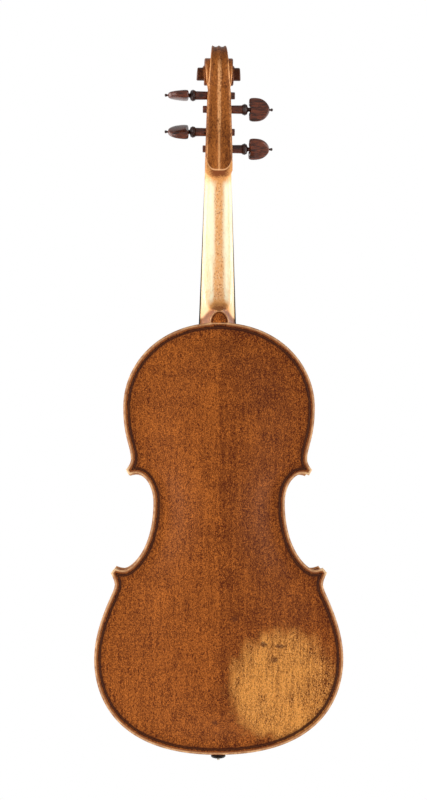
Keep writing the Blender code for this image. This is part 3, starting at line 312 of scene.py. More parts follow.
class Recipe:
    def __init__(self, owner, values, shader="Principled BSDF"):
        self.owner = owner
        self.owner.use_nodes = True
        self.tree = owner.node_tree
        self.shader = self.tree.nodes[shader]
        for socket, value in values.items():
            self.feed(self.shader.inputs[socket], value)

    def node(self, kind, settings=None, inputs=None, out=0):
        made = self.tree.nodes.new(kind)
        for key, value in (settings or {}).items():
            setattr(made, key, value)
        for key, value in (inputs or {}).items():
            self.feed(made.inputs[key], value)
        return Wire(self, made.outputs[out])

    def feed(self, socket, value):
        if isinstance(value, Wire):
            self.tree.links.new(value.socket, socket)
        elif socket.type == "RGBA":
            socket.default_value = (*value, 1)
        else:
            socket.default_value = value

    def maths(self, operation, *values):
        return self.node("ShaderNodeMath", {"operation": operation}, dict(enumerate(values)))

    def outputs(self, made, *names):
        return [Wire(self, made.socket.node.outputs[name]) for name in names]

    def axes(self):
        where = self.node("ShaderNodeTexCoord", out="Object")
        return self.outputs(self.node("ShaderNodeSeparateXYZ", None, {0: where}), 0, 1, 2)

    def noise(self, size, stretch=(1, 1, 1), detail=2.0, rough=0.5, twist=0.0, move=(0, 0, 0)):
        # size is the pattern's own size in metres, stretch makes it longer along an axis
        where = self.node("ShaderNodeTexCoord", out="Object")
        scale = tuple(1 / (size * part) for part in stretch)
        place = self.node("ShaderNodeMapping", None, {"Vector": where, "Scale": scale, "Location": move})
        inputs = {"Vector": place, "Scale": 1.0, "Detail": detail, "Roughness": rough, "Distortion": twist}
        return self.node("ShaderNodeTexNoise", None, inputs)

    def attribute(self, name):
        return self.node("ShaderNodeAttribute", {"attribute_name": name}, out="Fac")

    def mix(self, factor, a, b):
        return self.node("ShaderNodeMix", {"data_type": "RGBA"}, {0: factor, 6: a, 7: b}, 2)

    def relief(self, height, strength, distance, below=None):
        inputs = {"Height": height, "Strength": strength, "Distance": distance}
        if below:
            inputs["Normal"] = below
        return self.node("ShaderNodeBump", None, inputs)

    def paint(self, **values):
        sockets = {"colour": "Base Color", "coat": "Coat Weight"}
        for key, value in values.items():
            self.feed(self.shader.inputs[sockets.get(key, key.capitalize())], value)
        return self.owner


# Geometry Nodes
class Plan:
    def __init__(self, name, **inputs):
        self.tree = bpy.data.node_groups.new(name, "GeometryNodeTree")
        self.tree.interface.new_socket("Geometry", in_out="INPUT", socket_type="NodeSocketGeometry")
        self.tree.interface.new_socket("Geometry", in_out="OUTPUT", socket_type="NodeSocketGeometry")
        for label, kind in inputs.items():
            self.tree.interface.new_socket(label, in_out="INPUT", socket_type="NodeSocket" + kind)
        self.entry = self.tree.nodes.new("NodeGroupInput")
        self.exit = self.tree.nodes.new("NodeGroupOutput")

    def node(self, kind, settings=None, inputs=None):
        made = self.tree.nodes.new(kind)
        for key, value in (settings or {}).items():
            setattr(made, key, value)
        for key, value in (inputs or {}).items():
            if isinstance(value, bpy.types.NodeSocket):
                self.tree.links.new(value, made.inputs[key])
            else:
                made.inputs[key].default_value = value
        return made

    def swept(self, line, profile):
        # The profile follows the line, and the tree ends there
        inputs = {"Curve": line.outputs[0], "Profile Curve": profile.outputs[0], "Fill Caps": True}
        solid = self.node("GeometryNodeCurveToMesh", None, inputs)
        real = self.node("GeometryNodeRealizeInstances", None, {"Geometry": solid.outputs[0]})
        inputs = {"Geometry": real.outputs[0], "Material": self.entry.outputs["Material"]}
        painted = self.node("GeometryNodeSetMaterial", None, inputs)
        self.tree.links.new(painted.outputs[0], self.exit.inputs[0])
        return self.tree


def grown(name, path, tree, closed=False, **values):
    # A path of points goes through a node tree and comes back as a plain mesh
    mesh = bpy.data.meshes.new(name)
    edges = [(i, i + 1) for i in range(len(path) - 1)]
    if closed:
        edges.append((len(path) - 1, 0))
    mesh.from_pydata([tuple(toThroat @ Vector(point)) for point in path], edges, [])
    piece = bpy.data.objects.new(name, mesh)
    viola.objects.link(piece)
    modifier = piece.modifiers.new("build", "NODES")
    sockets = {item.name: item.identifier for item in tree.interface.items_tree if item.in_out == "INPUT"}
    modifier.node_group = tree
    for label, value in values.items():
        modifier[sockets[label]] = value
    settled(piece)
    piece.data.materials.clear()
    piece.data.materials.append(values["Material"])
    return piece


def strandPlan():
    plan = Plan("strand", Radius="Float", Sides="Int", Material="Material")
    given = plan.entry.outputs
    line = plan.node("GeometryNodeMeshToCurve", None, {0: given["Geometry"]})
    run = plan.node("GeometryNodeSplineParameter")
    stored = plan.node(
        "GeometryNodeStoreNamedAttribute", {"data_type": "FLOAT", "domain": "POINT"},
        {"Geometry": line.outputs[0], "Name": "run", "Value": run.outputs["Length"]},
    )
    circle = {"Resolution": given["Sides"], "Radius": given["Radius"]}
    return plan.swept(stored, plan.node("GeometryNodeCurvePrimitiveCircle", None, circle))


def inlayPlan():
    plan = Plan("inlay", Width="Float", Depth="Float", Material="Material")
    given = plan.entry.outputs
    line = plan.node("GeometryNodeMeshToCurve", None, {0: given["Geometry"]})
    bar = {"Width": given["Depth"], "Height": given["Width"]}
    return plan.swept(line, plan.node("GeometryNodeCurvePrimitiveQuadrilateral", None, bar))


strandTree, inlayTree = strandPlan(), inlayPlan()
print("tools ready")


# Woods and finishes
def surface(name, specular, coat=0.0, coatRoughness=0.03):
    values = {"Specular IOR Level": specular, "Coat Roughness": coatRoughness, "Coat Weight": coat}
    return Recipe(bpy.data.materials.new(name), values)


backLook = {
    "light": (0.580, 0.164, 0.0250), "dark": (0.078, 0.012, 0.0010), "worn": (0.74, 0.300, 0.060),
    "edgeDark": (0.028, 0.0035, 0.0007), "edge": (0.25, 0.080, 0.027), "paleEdgeAndHighlight": (0.80, 0.46, 0.22),
    "mark": (0.10, 0.024, 0.006), "glint": (0.95, 0.60, 0.24), "tip": (0.86, 0.60, 0.34),
    # worn patch: middle x and z, radius, soft edge; marks: x, z, size; tips: x and z of the corners
    "patch": (-0.0585, -0.5590, 0.0485, 0.0085),
    "marks": [
        (-0.0506, -0.5352, 0.0024), (-0.0405, -0.5210, 0.0022), (-0.0557, -0.5228, 0.0021),
        (-0.0140, -0.4975, 0.0022), (0.0046, -0.5922, 0.0019),
    ],
    "tips": [(0.0868, 0.2620), (0.0840, 0.2568), (0.0964, 0.1712), (0.1004, 0.1664)],
}


def varnishedBack():
    recipe, look = surface("back_varnish_aged", 0.11, 0.0, 0.22), backLook
    x, _, z = recipe.axes()
    fleck = recipe.noise(0.00105, (1, 1, 2.2), 1.0, 0.6)
    fine = recipe.noise(0.00060, (1, 1, 1.5), 1.0, 0.6, move=(3, 1, 2))
    streak = recipe.noise(0.0028, (1, 1, 14), 3.0, 0.55, 0.3)
    cloud = recipe.noise(0.030, (1, 1, 0.8), 3.0, 0.55)
    band = recipe.noise(0.010, (3.5, 1, 0.9), 2.0, 0.5)
    tone = 0.205 + fleck.sway(1.9) + fine.sway(3.9) + streak.sway(1.0) + cloud.sway(0.7) + band.sway(0.4)
    trebleHalf = x.between(-0.0012, 0.0012)
    tone = tone - 0.12 + trebleHalf * 0.21
    colour = recipe.mix(tone.share(-0.3, 1.3), look["dark"], look["light"])
    gloss = 0.44 - cloud.sway(0.25)

    # Worn patch and the small dark marks
    ragged = recipe.noise(0.010, (1, 1, 1.1), 5.0, 0.62)
    patchX, patchZ, radius, soft = look["patch"]
    dx, dz = x - patchX, z - patchZ
    away = (dx * dx + dz * dz * 0.95).power(0.5)  # a little longer than wide
    away = away + ragged.sway(0.026) + fleck.sway(0.014)
    patch = away.past(radius - soft, radius + soft)
    fade = x.between(-0.100, -0.066) * 0.38 - 0.03 + z.past(-0.545, -0.515) * 0.16
    mottle = 0.17 + fade + fleck.sway(1.6) + streak.sway(1.4) + fine.sway(2.0) + cloud.sway(0.6)
    colour = recipe.mix((patch * mottle).share(), colour, look["worn"])
    for markX, markZ, size in look["marks"]:
        away = distance(x - markX, z - markZ, 0.6) + fleck.sway(0.0030)
        colour = recipe.mix(away.past(size * 0.5, size * 1.6) * 0.84, colour, look["mark"])
    colour = recipe.mix(fine.between(0.56, 0.72) * patch * 0.30, colour, look["glint"])
    gloss = gloss + patch * 0.10

    # Edge: dark in the channel, red on the margin, pale where the rim is rubbed, with a painted highlight
    # along the rim in that pale colour
    inset = recipe.attribute("inset") * (1 + z.between(-0.2240, -0.2215) * 1.2)
    rub = recipe.noise(0.006, (1, 1, 1), 4.0, 0.6)
    wander = inset + rub.sway(0.0014)
    dirt = wander.between(0.0035, 0.0042) * wander.past(0.0056, 0.0073)
    colour = recipe.mix(wander.past(0.005, 0.0130) * 0.26, colour, look["edgeDark"])
    colour = recipe.mix(dirt * 0.90, colour, look["edgeDark"])
    rim = (inset + rub.sway(0.0010)).past(0.0026, 0.0034)
    colour = recipe.mix(rim * 0.85, colour, look["edge"])
    # the pale rim is rubbed wood with a painted highlight along it
    pale = wander.between(0.0002, 0.0008) * wander.past(0.0015, 0.0026)
    pale = pale * (0.56 + rub.sway(1.9) + fleck.sway(0.6))
    colour = recipe.mix(pale.share(), colour, look["paleEdgeAndHighlight"])
    side = x.size()
    for tipX, tipZ in look["tips"]:
        away = distance(side - tipX, z + (throat[1] - tipZ))
        tip = away.past(0.0018, 0.0050) * inset.past(0.0012, 0.0026)
        colour = recipe.mix(tip * 0.6, colour, look["tip"])
    buttonFoot = body["length"] - throat[1]
    seam = z.bump(buttonFoot - 0.0016, buttonFoot - 0.0006, 0.0004) * side.past(0.0105, 0.0125)
    colour = recipe.mix(seam * 0.6, colour, look["paleEdgeAndHighlight"])
    grain = recipe.relief(fleck * 0.6 + fine * 0.4, 0.20, 0.0004)
    return recipe.paint(colour=colour, roughness=gloss, normal=recipe.relief(cloud, 0.12, 0.002, grain))


backVarnish = varnishedBack()
ribLook = {"light": (0.36, 0.095, 0.018), "dark": (0.17, 0.036, 0.006), "darkNearPlates": backLook["edgeDark"]}


def varnishedRib():
    recipe = surface("rib_varnish_aged", 0.16, 0.03, 0.2)
    y = recipe.axes()[1]
    fleck = recipe.noise(0.0009, (2.6, 1, 2.6), 3.0, 0.6)
    flame = recipe.noise(0.0045, (1, 9, 1), 2.0, 0.5, 0.2)
    cloud = recipe.noise(0.028, (1, 1, 1), 3.0, 0.55)
    tone = 0.5 + fleck.sway(1.1) + flame.sway(1.3) + cloud.sway(0.8)
    colour = recipe.mix(tone.share(0.05, 0.95), ribLook["dark"], ribLook["light"])
    low, high = bellyGlue - throat[0], backGlue - throat[0]
    # darker along the strips of rib next to the plates
    darkNearPlates = y.past(low, low + 0.004).highest(y.between(high - 0.004, high))
    colour = recipe.mix(darkNearPlates * 0.6, colour, ribLook["darkNearPlates"])
    grain = recipe.relief(fleck + flame * 0.5, 0.18, 0.0004)
    return recipe.paint(colour=colour, roughness=0.40 + cloud.sway(0.2), normal=grain)


ribVarnish = varnishedRib()
bellyLook = {
    "light": (0.52, 0.185, 0.036), "dark": (0.25, 0.065, 0.012), "edgeDark": (0.10, 0.018, 0.004),
    "paleEdgeAndHighlight": (0.56, 0.30, 0.13), "rosin": (0.62, 0.42, 0.22),
}


def varnishedBelly():
    recipe = surface("belly_varnish_aged", 0.16, 0.03, 0.2)
    x, _, z = recipe.axes()
    reed = recipe.noise(0.0015, (1, 1, 90), 1.0, 0.5).between(0.42, 0.66)
    fleck = recipe.noise(0.0006, (1, 1, 9), 3.0, 0.6)
    cloud = recipe.noise(0.026, (1, 1, 1.4), 4.0, 0.55)
    silk = recipe.noise(0.004, (4, 1, 0.8), 2.0, 0.5)
    tone = 0.66 + fleck.sway(1.1) + cloud.sway(0.9) + silk.sway(0.3) - reed * 0.36
    colour = recipe.mix(tone.share(0.05, 0.95), bellyLook["dark"], bellyLook["light"])
    toBridge = z - (bridgeZ - throat[1])
    dust = distance(x, toBridge, 0.55).past(0.010, 0.060) * (0.35 + cloud * 0.4)
    colour = recipe.mix(dust * 0.35, colour, bellyLook["rosin"])
    inset = recipe.attribute("inset")
    rub = recipe.noise(0.006, (1, 1, 1), 4.0, 0.6)
    wander = inset + rub.sway(0.0022)
    dirt = wander.between(0.0030, 0.0042) * wander.past(0.0060, 0.0090)
    colour = recipe.mix(dirt * 0.78, colour, bellyLook["edgeDark"])
    # pale rim: rubbed wood with a painted highlight along it
    rim = (inset + rub.sway(0.002)).past(0.0007, 0.0024)
    colour = recipe.mix(rim * 0.8, colour, bellyLook["paleEdgeAndHighlight"])
    grain = recipe.relief(fleck * 0.5 - reed * 0.5, 0.22, 0.0004)
    return recipe.paint(colour=colour, roughness=0.40 + cloud.sway(0.22), normal=grain)


bellyVarnish = varnishedBelly()
headLook = {
    "light": (0.50, 0.158, 0.030), "dark": (0.075, 0.016, 0.003), "pale": (0.72, 0.33, 0.120),
    "soil": (0.040, 0.010, 0.004), "lip": (0.80, 0.42, 0.19), "bare": (1.0, 0.89, 0.60),
    "bareDark": (0.88, 0.54, 0.25), "streak": (0.80, 0.38, 0.130), "spot": (0.42, 0.135, 0.036),
    "endOrange": (0.72, 0.33, 0.105), "stain": (0.20, 0.052, 0.013),
}


def neckWood():
    recipe, look = surface("neck_and_head_maple", 0.10, 0.1, 0.16), headLook
    x, y, z = recipe.axes()
    fleck = recipe.noise(0.0014, (1, 1, 1.8), 1.0, 0.62)
    pore = recipe.noise(0.0009, (1, 1, 1.5), 1.0, 0.6, move=(5, 2, 1))
    streak = recipe.noise(0.0022, (1, 1, 12), 3.0, 0.55, 0.3)
    cloud = recipe.noise(0.014, (1, 1, 1.8), 3.0, 0.55)

    # Varnish of the head: darker on the bass side, low down, on the flanks and on the eyes, with painted
    # shade on the scroll's top
    bass, low = x.past(-0.002, 0.003), z.past(-0.055, -0.015)
    flat = x.size()
    outer = flat.between(0.0118, 0.0132) * z.between(-0.030, -0.012)
    tone = 0.425 + fleck.sway(1.1) + pore.sway(1.2) + streak.sway(0.9) + cloud.sway(1.1) - bass * 0.12
    boss = flat.between(0.0142, 0.0160)
    # painted shade: the scroll's upward-facing top is darkened
    tone = tone - low * 0.12 - z.between(0.022, 0.045) * 0.38 - outer * (0.42 + bass * 0.15)
    varnish = recipe.mix(tone.share(-0.25, 0.95), look["dark"], look["light"])
    soiled = x.past(-0.0115, -0.0055) * low * pore.between(0.52, 0.62)
    varnish = recipe.mix(soiled * 0.60, varnish, look["soil"])
    varnish = recipe.mix(boss * (0.55 + streak.sway(0.8)), varnish, look["soil"])

    # Bare wood between the heel's arch and the chin; u runs up the neck from the nut, v into it
    start = onNeck(0, 0)
    fromY, fromZ = y + (throat[0] - start[0]), z + (throat[1] - start[1])
    u = fromY * lean[0] + fromZ * lean[1]
    v = fromY * lean[1] - fromZ * lean[0]
    flank = x.size() / 0.0129
    chinLine = u - 0.0004 - flank.lowest(1.0).power(4.0) * 0.0120 * v.between(0.010, 0.019)
    mask = chinLine.past(-0.0004, 0.0004)
    above = z + (throat[1] - body["length"])
    arch = 1 - (flank * 0.9).lowest(1.0).power(2.0)
    mask = mask * (above - arch * 0.0055).between(0.0080, 0.0120)

    # Rubbed edges, the scroll's ridge and the pale lip over the chin
    worn = recipe.attribute("worn")
    ridge = (flat + streak.sway(0.0020)).past(0.0006, 0.0030) * z.between(-0.065, -0.020)
    rub = worn * (0.60 + cloud.sway(1.6) + fleck.sway(0.8)) * (1 - outer * 0.8) * (1 - boss * 0.6)
    rub = rub.highest(ridge * (0.62 + fleck.sway(1.4))) * (1 - z.between(0.020, 0.038) * 0.85)
    varnish = recipe.mix(rub.between(0.12, 0.82), varnish, look["pale"])
    lip = chinLine.bump(0.0000, 0.0013, 0.0004) * v.between(0.006, 0.014)
    varnish = recipe.mix(lip * 0.85, varnish, look["lip"])

    # Tone of the bare wood, with its dark middle, a painted highlight either side of it, spots, and ends
    # that turn orange and brown towards the chin and the heel
    side = (x + 0.0006).size()
    tone = 0.62 + streak.sway(1.2) + fleck.sway(0.8) + cloud.sway(0.6)
    # painted highlight either side of the dark middle, in the pale 'bare' colour, fading to a darker cream
    # towards the neck's sides
    tone = tone + side.past(0.0058, 0.0095) * 0.45 - side.between(0.0080, 0.0115) * 0.34
    bare = recipe.mix(tone.share(), look["bareDark"], look["bare"])
    middle = side - above.past(0.0200, 0.0900) * 0.0012 + streak.sway(0.0020)
    middle = middle.past(0.0020, 0.0062)
    bare = recipe.mix((middle * (0.95 + fleck.sway(1.3))).share(), bare, look["streak"])
    spots = recipe.noise(0.0014, (1, 1, 1.4), 1.0, 0.4, move=(7, 3, 9)).between(0.58, 0.68)
    bare = recipe.mix(spots * (middle * 0.70 + 0.06), bare, look["spot"])
    shade = side.past(0.0030, 0.0125)
    # orange, then dark brown, towards the chin, under it and just above the button, most in the middle; the
    # 'stain' colour is the darkest of these browns
    ends = u.between(-0.0150, 0.0010) * (0.50 + shade * 0.70)
    ends = ends + above.past(0.0130, 0.0290) * (0.24 + shade * 1.25)
    under = u.between(-0.0260, -0.0060) * v.between(0.0130, 0.0185) * 0.80
    ends = (ends + under * (0.5 + shade * 0.5)) * (0.95 + cloud.sway(1.2) + fleck.sway(1.2))
    bare = recipe.mix(ends.share(0.0, 0.55), bare, look["endOrange"])
    bare = recipe.mix(ends.share(0.50, 1.50), bare, look["stain"])

    colour = recipe.mix(mask, varnish, bare)
    gloss = 0.40 - mask * 0.10 + ends.between(0.05, 0.40) * mask * 0.30 + cloud.sway(0.14)
    grain = recipe.relief(fleck * 0.5 + pore * 0.5, 0.16, 0.0004)
    coat = (0.02 + mask * 0.5) * (1 - ends.between(0.05, 0.30) * 0.97)
    return recipe.paint(colour=colour, roughness=gloss, coat=coat, normal=grain)


neckMaple = neckWood()


def darkWood(name, light, dark, size, along, specular, gloss):
    # along stretches the streaks: (x, y, z)
    recipe = surface(name, specular, 0.03, 0.12)
    streak = recipe.noise(size, along, 4.0, 0.6, 0.6)
    pore = recipe.noise(size * 0.35, along, 2.0, 0.6, move=(4, 7, 1))
    cloud = recipe.noise(0.012, (1, 1, 1), 2.0, 0.5)
    tone = 0.5 + streak.sway(2.2) + pore.sway(0.9) + cloud.sway(0.4)
    colour = recipe.mix(tone.between(0.0, 1.0), dark, light)
    grain = recipe.relief(pore, 0.12, 0.0003)
    return recipe.paint(colour=colour, roughness=gloss + pore.sway(0.2), normal=grain)


rosewood, rosewoodEnd, ebony = (darkWood(*look) for look in (
    ("peg_rosewood", (0.165, 0.038, 0.014), (0.014, 0.005, 0.004), 0.0019, (6, 1, 1), 0.26, 0.20),
    ("peg_collar_rosewood", (0.050, 0.012, 0.006), (0.010, 0.004, 0.003), 0.0018, (3, 1, 1), 0.35, 0.26),
    ("ebony_polished", (0.016, 0.012, 0.010), (0.004, 0.0035, 0.003), 0.0012, (1, 1, 14), 0.17, 0.30),
))
bridgeLook = {"light": (0.76, 0.52, 0.27), "dark": (0.50, 0.27, 0.11), "ray": (0.42, 0.20, 0.075)}


def paleMaple():
    recipe = surface("bridge_maple_flecked", 0.35)
    fleck = recipe.noise(0.0011, (1, 2.4, 1), 3.0, 0.6)
    ray = recipe.noise(0.0007, (3.5, 1, 1), 2.0, 0.5).between(0.60, 0.72)
    cloud = recipe.noise(0.010, (1, 1, 1), 2.0, 0.5)
    tone = 0.55 + fleck.sway(0.9) + cloud.sway(0.6)
    colour = recipe.mix(tone.share(), bridgeLook["dark"], bridgeLook["light"])
    colour = recipe.mix(ray * 0.5, colour, bridgeLook["ray"])
    grain = recipe.relief(fleck, 0.15, 0.0003)
    return recipe.paint(colour=colour, roughness=0.5 + fleck.sway(0.2), normal=grain)


def bareSpruce():
    recipe = surface("inside_spruce", 0.25)
    reed = recipe.noise(0.0012, (1, 1, 22), 2.0, 0.5)
    cloud = recipe.noise(0.015, (1, 1, 1), 3.0, 0.55)
    tone = 0.5 + reed.sway(1.6) + cloud.sway(0.6)
    colour = recipe.mix(tone.share(), (0.36, 0.22, 0.11), (0.66, 0.48, 0.27))
    return recipe.paint(colour=colour, roughness=0.7, normal=recipe.relief(reed, 0.2, 0.0004))


def inlayWood(name, light, dark):
    recipe = surface(name, 0.1)
    fleck = recipe.noise(0.0016, (1, 1, 1), 3.0, 0.6)
    colour = recipe.mix(fleck.between(0.25, 0.75), dark, light)
    return recipe.paint(colour=colour, roughness=0.45 + fleck.sway(0.2))


def nylon():
    recipe = surface("tail_cord_nylon", 0.5)
    dull = recipe.noise(0.002, (1, 1, 1), 2.0, 0.5)
    colour = recipe.mix(dull, (0.016, 0.016, 0.017), (0.030, 0.029, 0.029))
    return recipe.paint(colour=colour, roughness=0.34 + dull.sway(0.2))


bridgeMaple, insideSpruce, cordBlack = paleMaple(), bareSpruce(), nylon()
inlayBlack = inlayWood("purfling_black", (0.040, 0.009, 0.003), (0.018, 0.004, 0.002))
inlayPale = inlayWood("purfling_pale", (0.15, 0.045, 0.010), (0.085, 0.022, 0.005))
pinPale = inlayWood("end_pin_pale", (0.62, 0.55, 0.42), (0.42, 0.34, 0.24))
metalLook = {"light": (0.40, 0.40, 0.41), "dark": (0.22, 0.22, 0.23), "thread": 0.00032, "soft": 0.0006}


def woundMetal(name, silk, start, end):
    # The metal shows between these lengths along the string, and coloured silk beyond them
    recipe = surface(name, 0.5)
    run = recipe.attribute("run")
    thread = recipe.maths("SINE", run * (2 * math.pi / metalLook["thread"]))
    dull = recipe.noise(0.004, (1, 1, 1), 2.0, 0.5)
    bright = run.bump(start, end, metalLook["soft"])
    metal = recipe.mix(dull, metalLook["dark"], metalLook["light"])
    wrap = recipe.mix(thread * 0.25 + 0.75, tuple(0.45 * part for part in silk), silk)
    colour = recipe.mix(bright, wrap, metal)
    gloss = 0.62 - bright * 0.36 + dull.sway(0.1)
    grain = recipe.relief(thread, 0.35, 0.00006)
    return recipe.paint(colour=colour, metallic=bright, roughness=gloss, normal=grain)


print("materials ready")


# Half outline, out from the joint and down from the top edge. Each bout is its first point, then
# its curves: aim and reach at the start, end point, aim and reach there, number of points.
outline = {
    "upper": ((0, 0), [
        ((1, 0), 0.056, (0.0896, 0.0792), (0, 1), 0.0403, 120),
        ((0, 1), 0.0291, (0.0822, 0.1286), (0, 1), 0.0122, 120),
        ((0, 1), 0.0030, (0.0868, 0.1380), (0.62, 0.78), 0.0040, 40),
    ]),
    "waist": ((0.0840, 0.1432), [
        ((-1, -0.35), 0.0025, (0.0773, 0.1419), (-1, 0), 0.0030, 30),
        ((-1, 0), 0.0073, (0.0612, 0.1689), (0, 1), 0.0166, 120),
        ((0, 1), 0.0440, (0.0885, 0.2306), (1, 0), 0.0060, 120),
        ((1, 0), 0.0030, (0.0964, 0.2288), (1, -0.4), 0.0025, 30),
    ]),
    "lower": ((0.1004, 0.2336), [
        ((-0.45, 1), 0.0030, (0.0965, 0.2450), (0, 1), 0.0045, 40),
        ((0, 1), 0.0057, (0.1152, 0.3124), (0, 1), 0.0327, 120),
        ((0, 1), 0.0306, (0, body["length"]), (-1, 0), 0.099, 160),
    ]),
}


def bezier(start, startAim, startReach, end, endAim, endReach, count):
    start, end = np.array(start), np.array(end)
    startAim = np.array(startAim) / np.hypot(*startAim)
    endAim = np.array(endAim) / np.hypot(*endAim)
    t = np.linspace(0, 1, count)[:, None]
    first, second, rest = start + startAim * startReach, end - endAim * endReach, 1 - t
    return rest**3 * start + 3 * rest**2 * t * first + 3 * rest * t**2 * second + t**3 * end


def boutRun(start, curves):
    points = np.array([start])
    for curve in curves:
        points = np.concatenate([points, bezier(start, *curve)[1:]])
        start = curve[2]
    return np.column_stack([points[:, 0], body["length"] - points[:, 1]])


upperRun, waistRun, lowerRun = (boutRun(*bout) for bout in outline.values())


def headings(run):
    # Unit vectors along the run and across it, to the right
    along = np.gradient(run, axis=0)
    along /= np.linalg.norm(along, axis=1)[:, None]
    return along, np.column_stack([along[:, 1], -along[:, 0]])


def insetRun(run, distance, lengthen=0.012):
    along, across = headings(run)
    moved = run + distance * across
    first = moved[:1] - along[:1] * lengthen
    return np.concatenate([first, moved, moved[-1:] + along[-1:] * lengthen])


def crossing(a, b):
    p, r = a[:-1, None], (a[1:] - a[:-1])[:, None]
    q, s = b[None, :-1], (b[1:] - b[:-1])[None]
    cross = r[..., 0] * s[..., 1] - r[..., 1] * s[..., 0]
    real = np.abs(cross) > 1e-14
    safe = np.where(real, cross, 1)
    gap = q - p
    t = (gap[..., 0] * s[..., 1] - gap[..., 1] * s[..., 0]) / safe
    w = (gap[..., 0] * r[..., 1] - gap[..., 1] * r[..., 0]) / safe
    hits = np.argwhere(real & (t >= 0) & (t <= 1) & (w >= 0) & (w <= 1))
    return (hits[0][0] + t[tuple(hits[0])], hits[0][1] + w[tuple(hits[0])]) if len(hits) else None


def sampled(run, places, pick):
    return np.column_stack([np.interp(pick, places, run[:, k]) for k in (0, 1)])


def trimmed(run, start, end):
    pick = np.concatenate([[start], np.arange(math.floor(start) + 1, math.ceil(end)), [end]])
    return sampled(run, np.arange(len(run)), pick)


def evenly(run, count):
    length = np.concatenate([[0], np.cumsum(np.linalg.norm(np.diff(run, axis=0), axis=1))])
    return sampled(run, length, np.linspace(0, length[-1], count + 1))


def bouts(distance, sharp=False):
    upper, middle, lower = (insetRun(run, distance) for run in (upperRun, waistRun, lowerRun))
    upper, lower = upper[1:], lower[:-1]
    starts, ends = [0.0, None, None], [None, None, len(lower) - 1.0]
    runs = [upper, middle, lower]
    ties = ((0, 1, upperRun[-1], waistRun[0]), (1, 2, waistRun[-1], lowerRun[0]))
    for before, after, left, right in ties:
        face = insetRun(np.array([left, right]), distance)
        first = None if sharp else crossing(runs[before], face)
        second = None if sharp else crossing(runs[after], face)
        if first and second and first[1] < second[1]:
            ends[before], starts[after] = first[0], second[0]
            continue
        ends[before], starts[after] = crossing(runs[before], runs[after])
    return [trimmed(run, a, b) for run, a, b in zip(runs, starts, ends)]


def ring(distance, button=False):
    upper, middle, lower = bouts(distance)
    first = outline["upper"][1][0][-1]
    split = np.interp(body["topEnd"], upper[:first, 0], np.arange(first))
    top = evenly(trimmed(upper, 0, split), body["topSteps"])
    if button:
        angle = np.linspace(math.pi / 2, 0, body["topSteps"])[:, None]
        reach = (body["buttonHalfWidth"] - distance, body["buttonHeight"])
        bulge = np.hstack([np.cos(angle) * reach[0], np.sin(angle) * reach[1]])
        top[:-1] = bulge + [0, body["length"] - distance]
    upper = evenly(trimmed(upper, split, len(upper) - 1.0), body["upperSteps"])
    middle, lower = evenly(middle, body["waistSteps"]), evenly(lower, body["lowerSteps"])
    points = np.concatenate([top[:-1], upper, middle, lower])
    points[0, 0] = points[-1, 0] = 0
    return points


def eased(values, passes):
    values = np.array(values)
    for _ in range(passes):
        values[1:-1] = (values[:-2] + 2 * values[1:-1] + values[2:]) / 4
    return values


# Arch: place of its crest along the body, fall to the ends, where its ring gets soft, fullness
arch = {"middle": 0.47, "fall": 0.16, "soft": 0.4, "fullness": 0.80, "spinePasses": 260, "ringPasses": 130}
archRing = ring(body["archInset"])
stride = np.linalg.norm(np.diff(archRing, axis=0), axis=1)
fall = np.maximum(np.abs(np.diff(archRing[:, 1])), 0.25 * stride)
shareDown = np.concatenate([[0], np.cumsum(fall)]) / fall.sum()
archTop = body["length"] - body["archEndInset"]
spineZ = eased(archTop * (1 - shareDown) + body["archEndInset"] * shareDown, arch["spinePasses"])
softRing = np.column_stack([eased(archRing[:, k], arch["ringPasses"]) for k in (0, 1)])


def archAt(rise, thickness, s):
    # s runs from the channel (0) to the spine (1)
    soft = min(s / arch["soft"], 1)
    points = (archRing * (1 - soft) + softRing * soft) * (1 - s)
    points[:, 1] += spineZ * s
    long = (spineZ - body["length"] * arch["middle"]) / (body["length"] / 2 - body["archEndInset"])
    crest = rise * (1 - arch["fall"] * long**2)
    lift = body["channelLift"]
    outside = lift + (crest - lift) * (0.5 - 0.5 * math.cos(math.pi * s ** arch["fullness"]))
    return points, outside, np.maximum(outside - (lift + (thickness - lift) * s), 0)


# margin: distance from the edge, height against the edge's top
plate = {
    "rimSteps": 10, "rimDepth": 0.0017, "archLevels": 30, "insideLevels": (1, 0.8, 0.6, 0.4, 0.2, 0.08, 0),
    "margin": [
        (0.0024, 0.0), (0.0032, -0.00008), (0.0040, -0.0003), (0.0048, -0.00055),
        (0.0056, -0.00075), (0.0070, -0.0009), (0.0090, -0.00093),
    ],
}


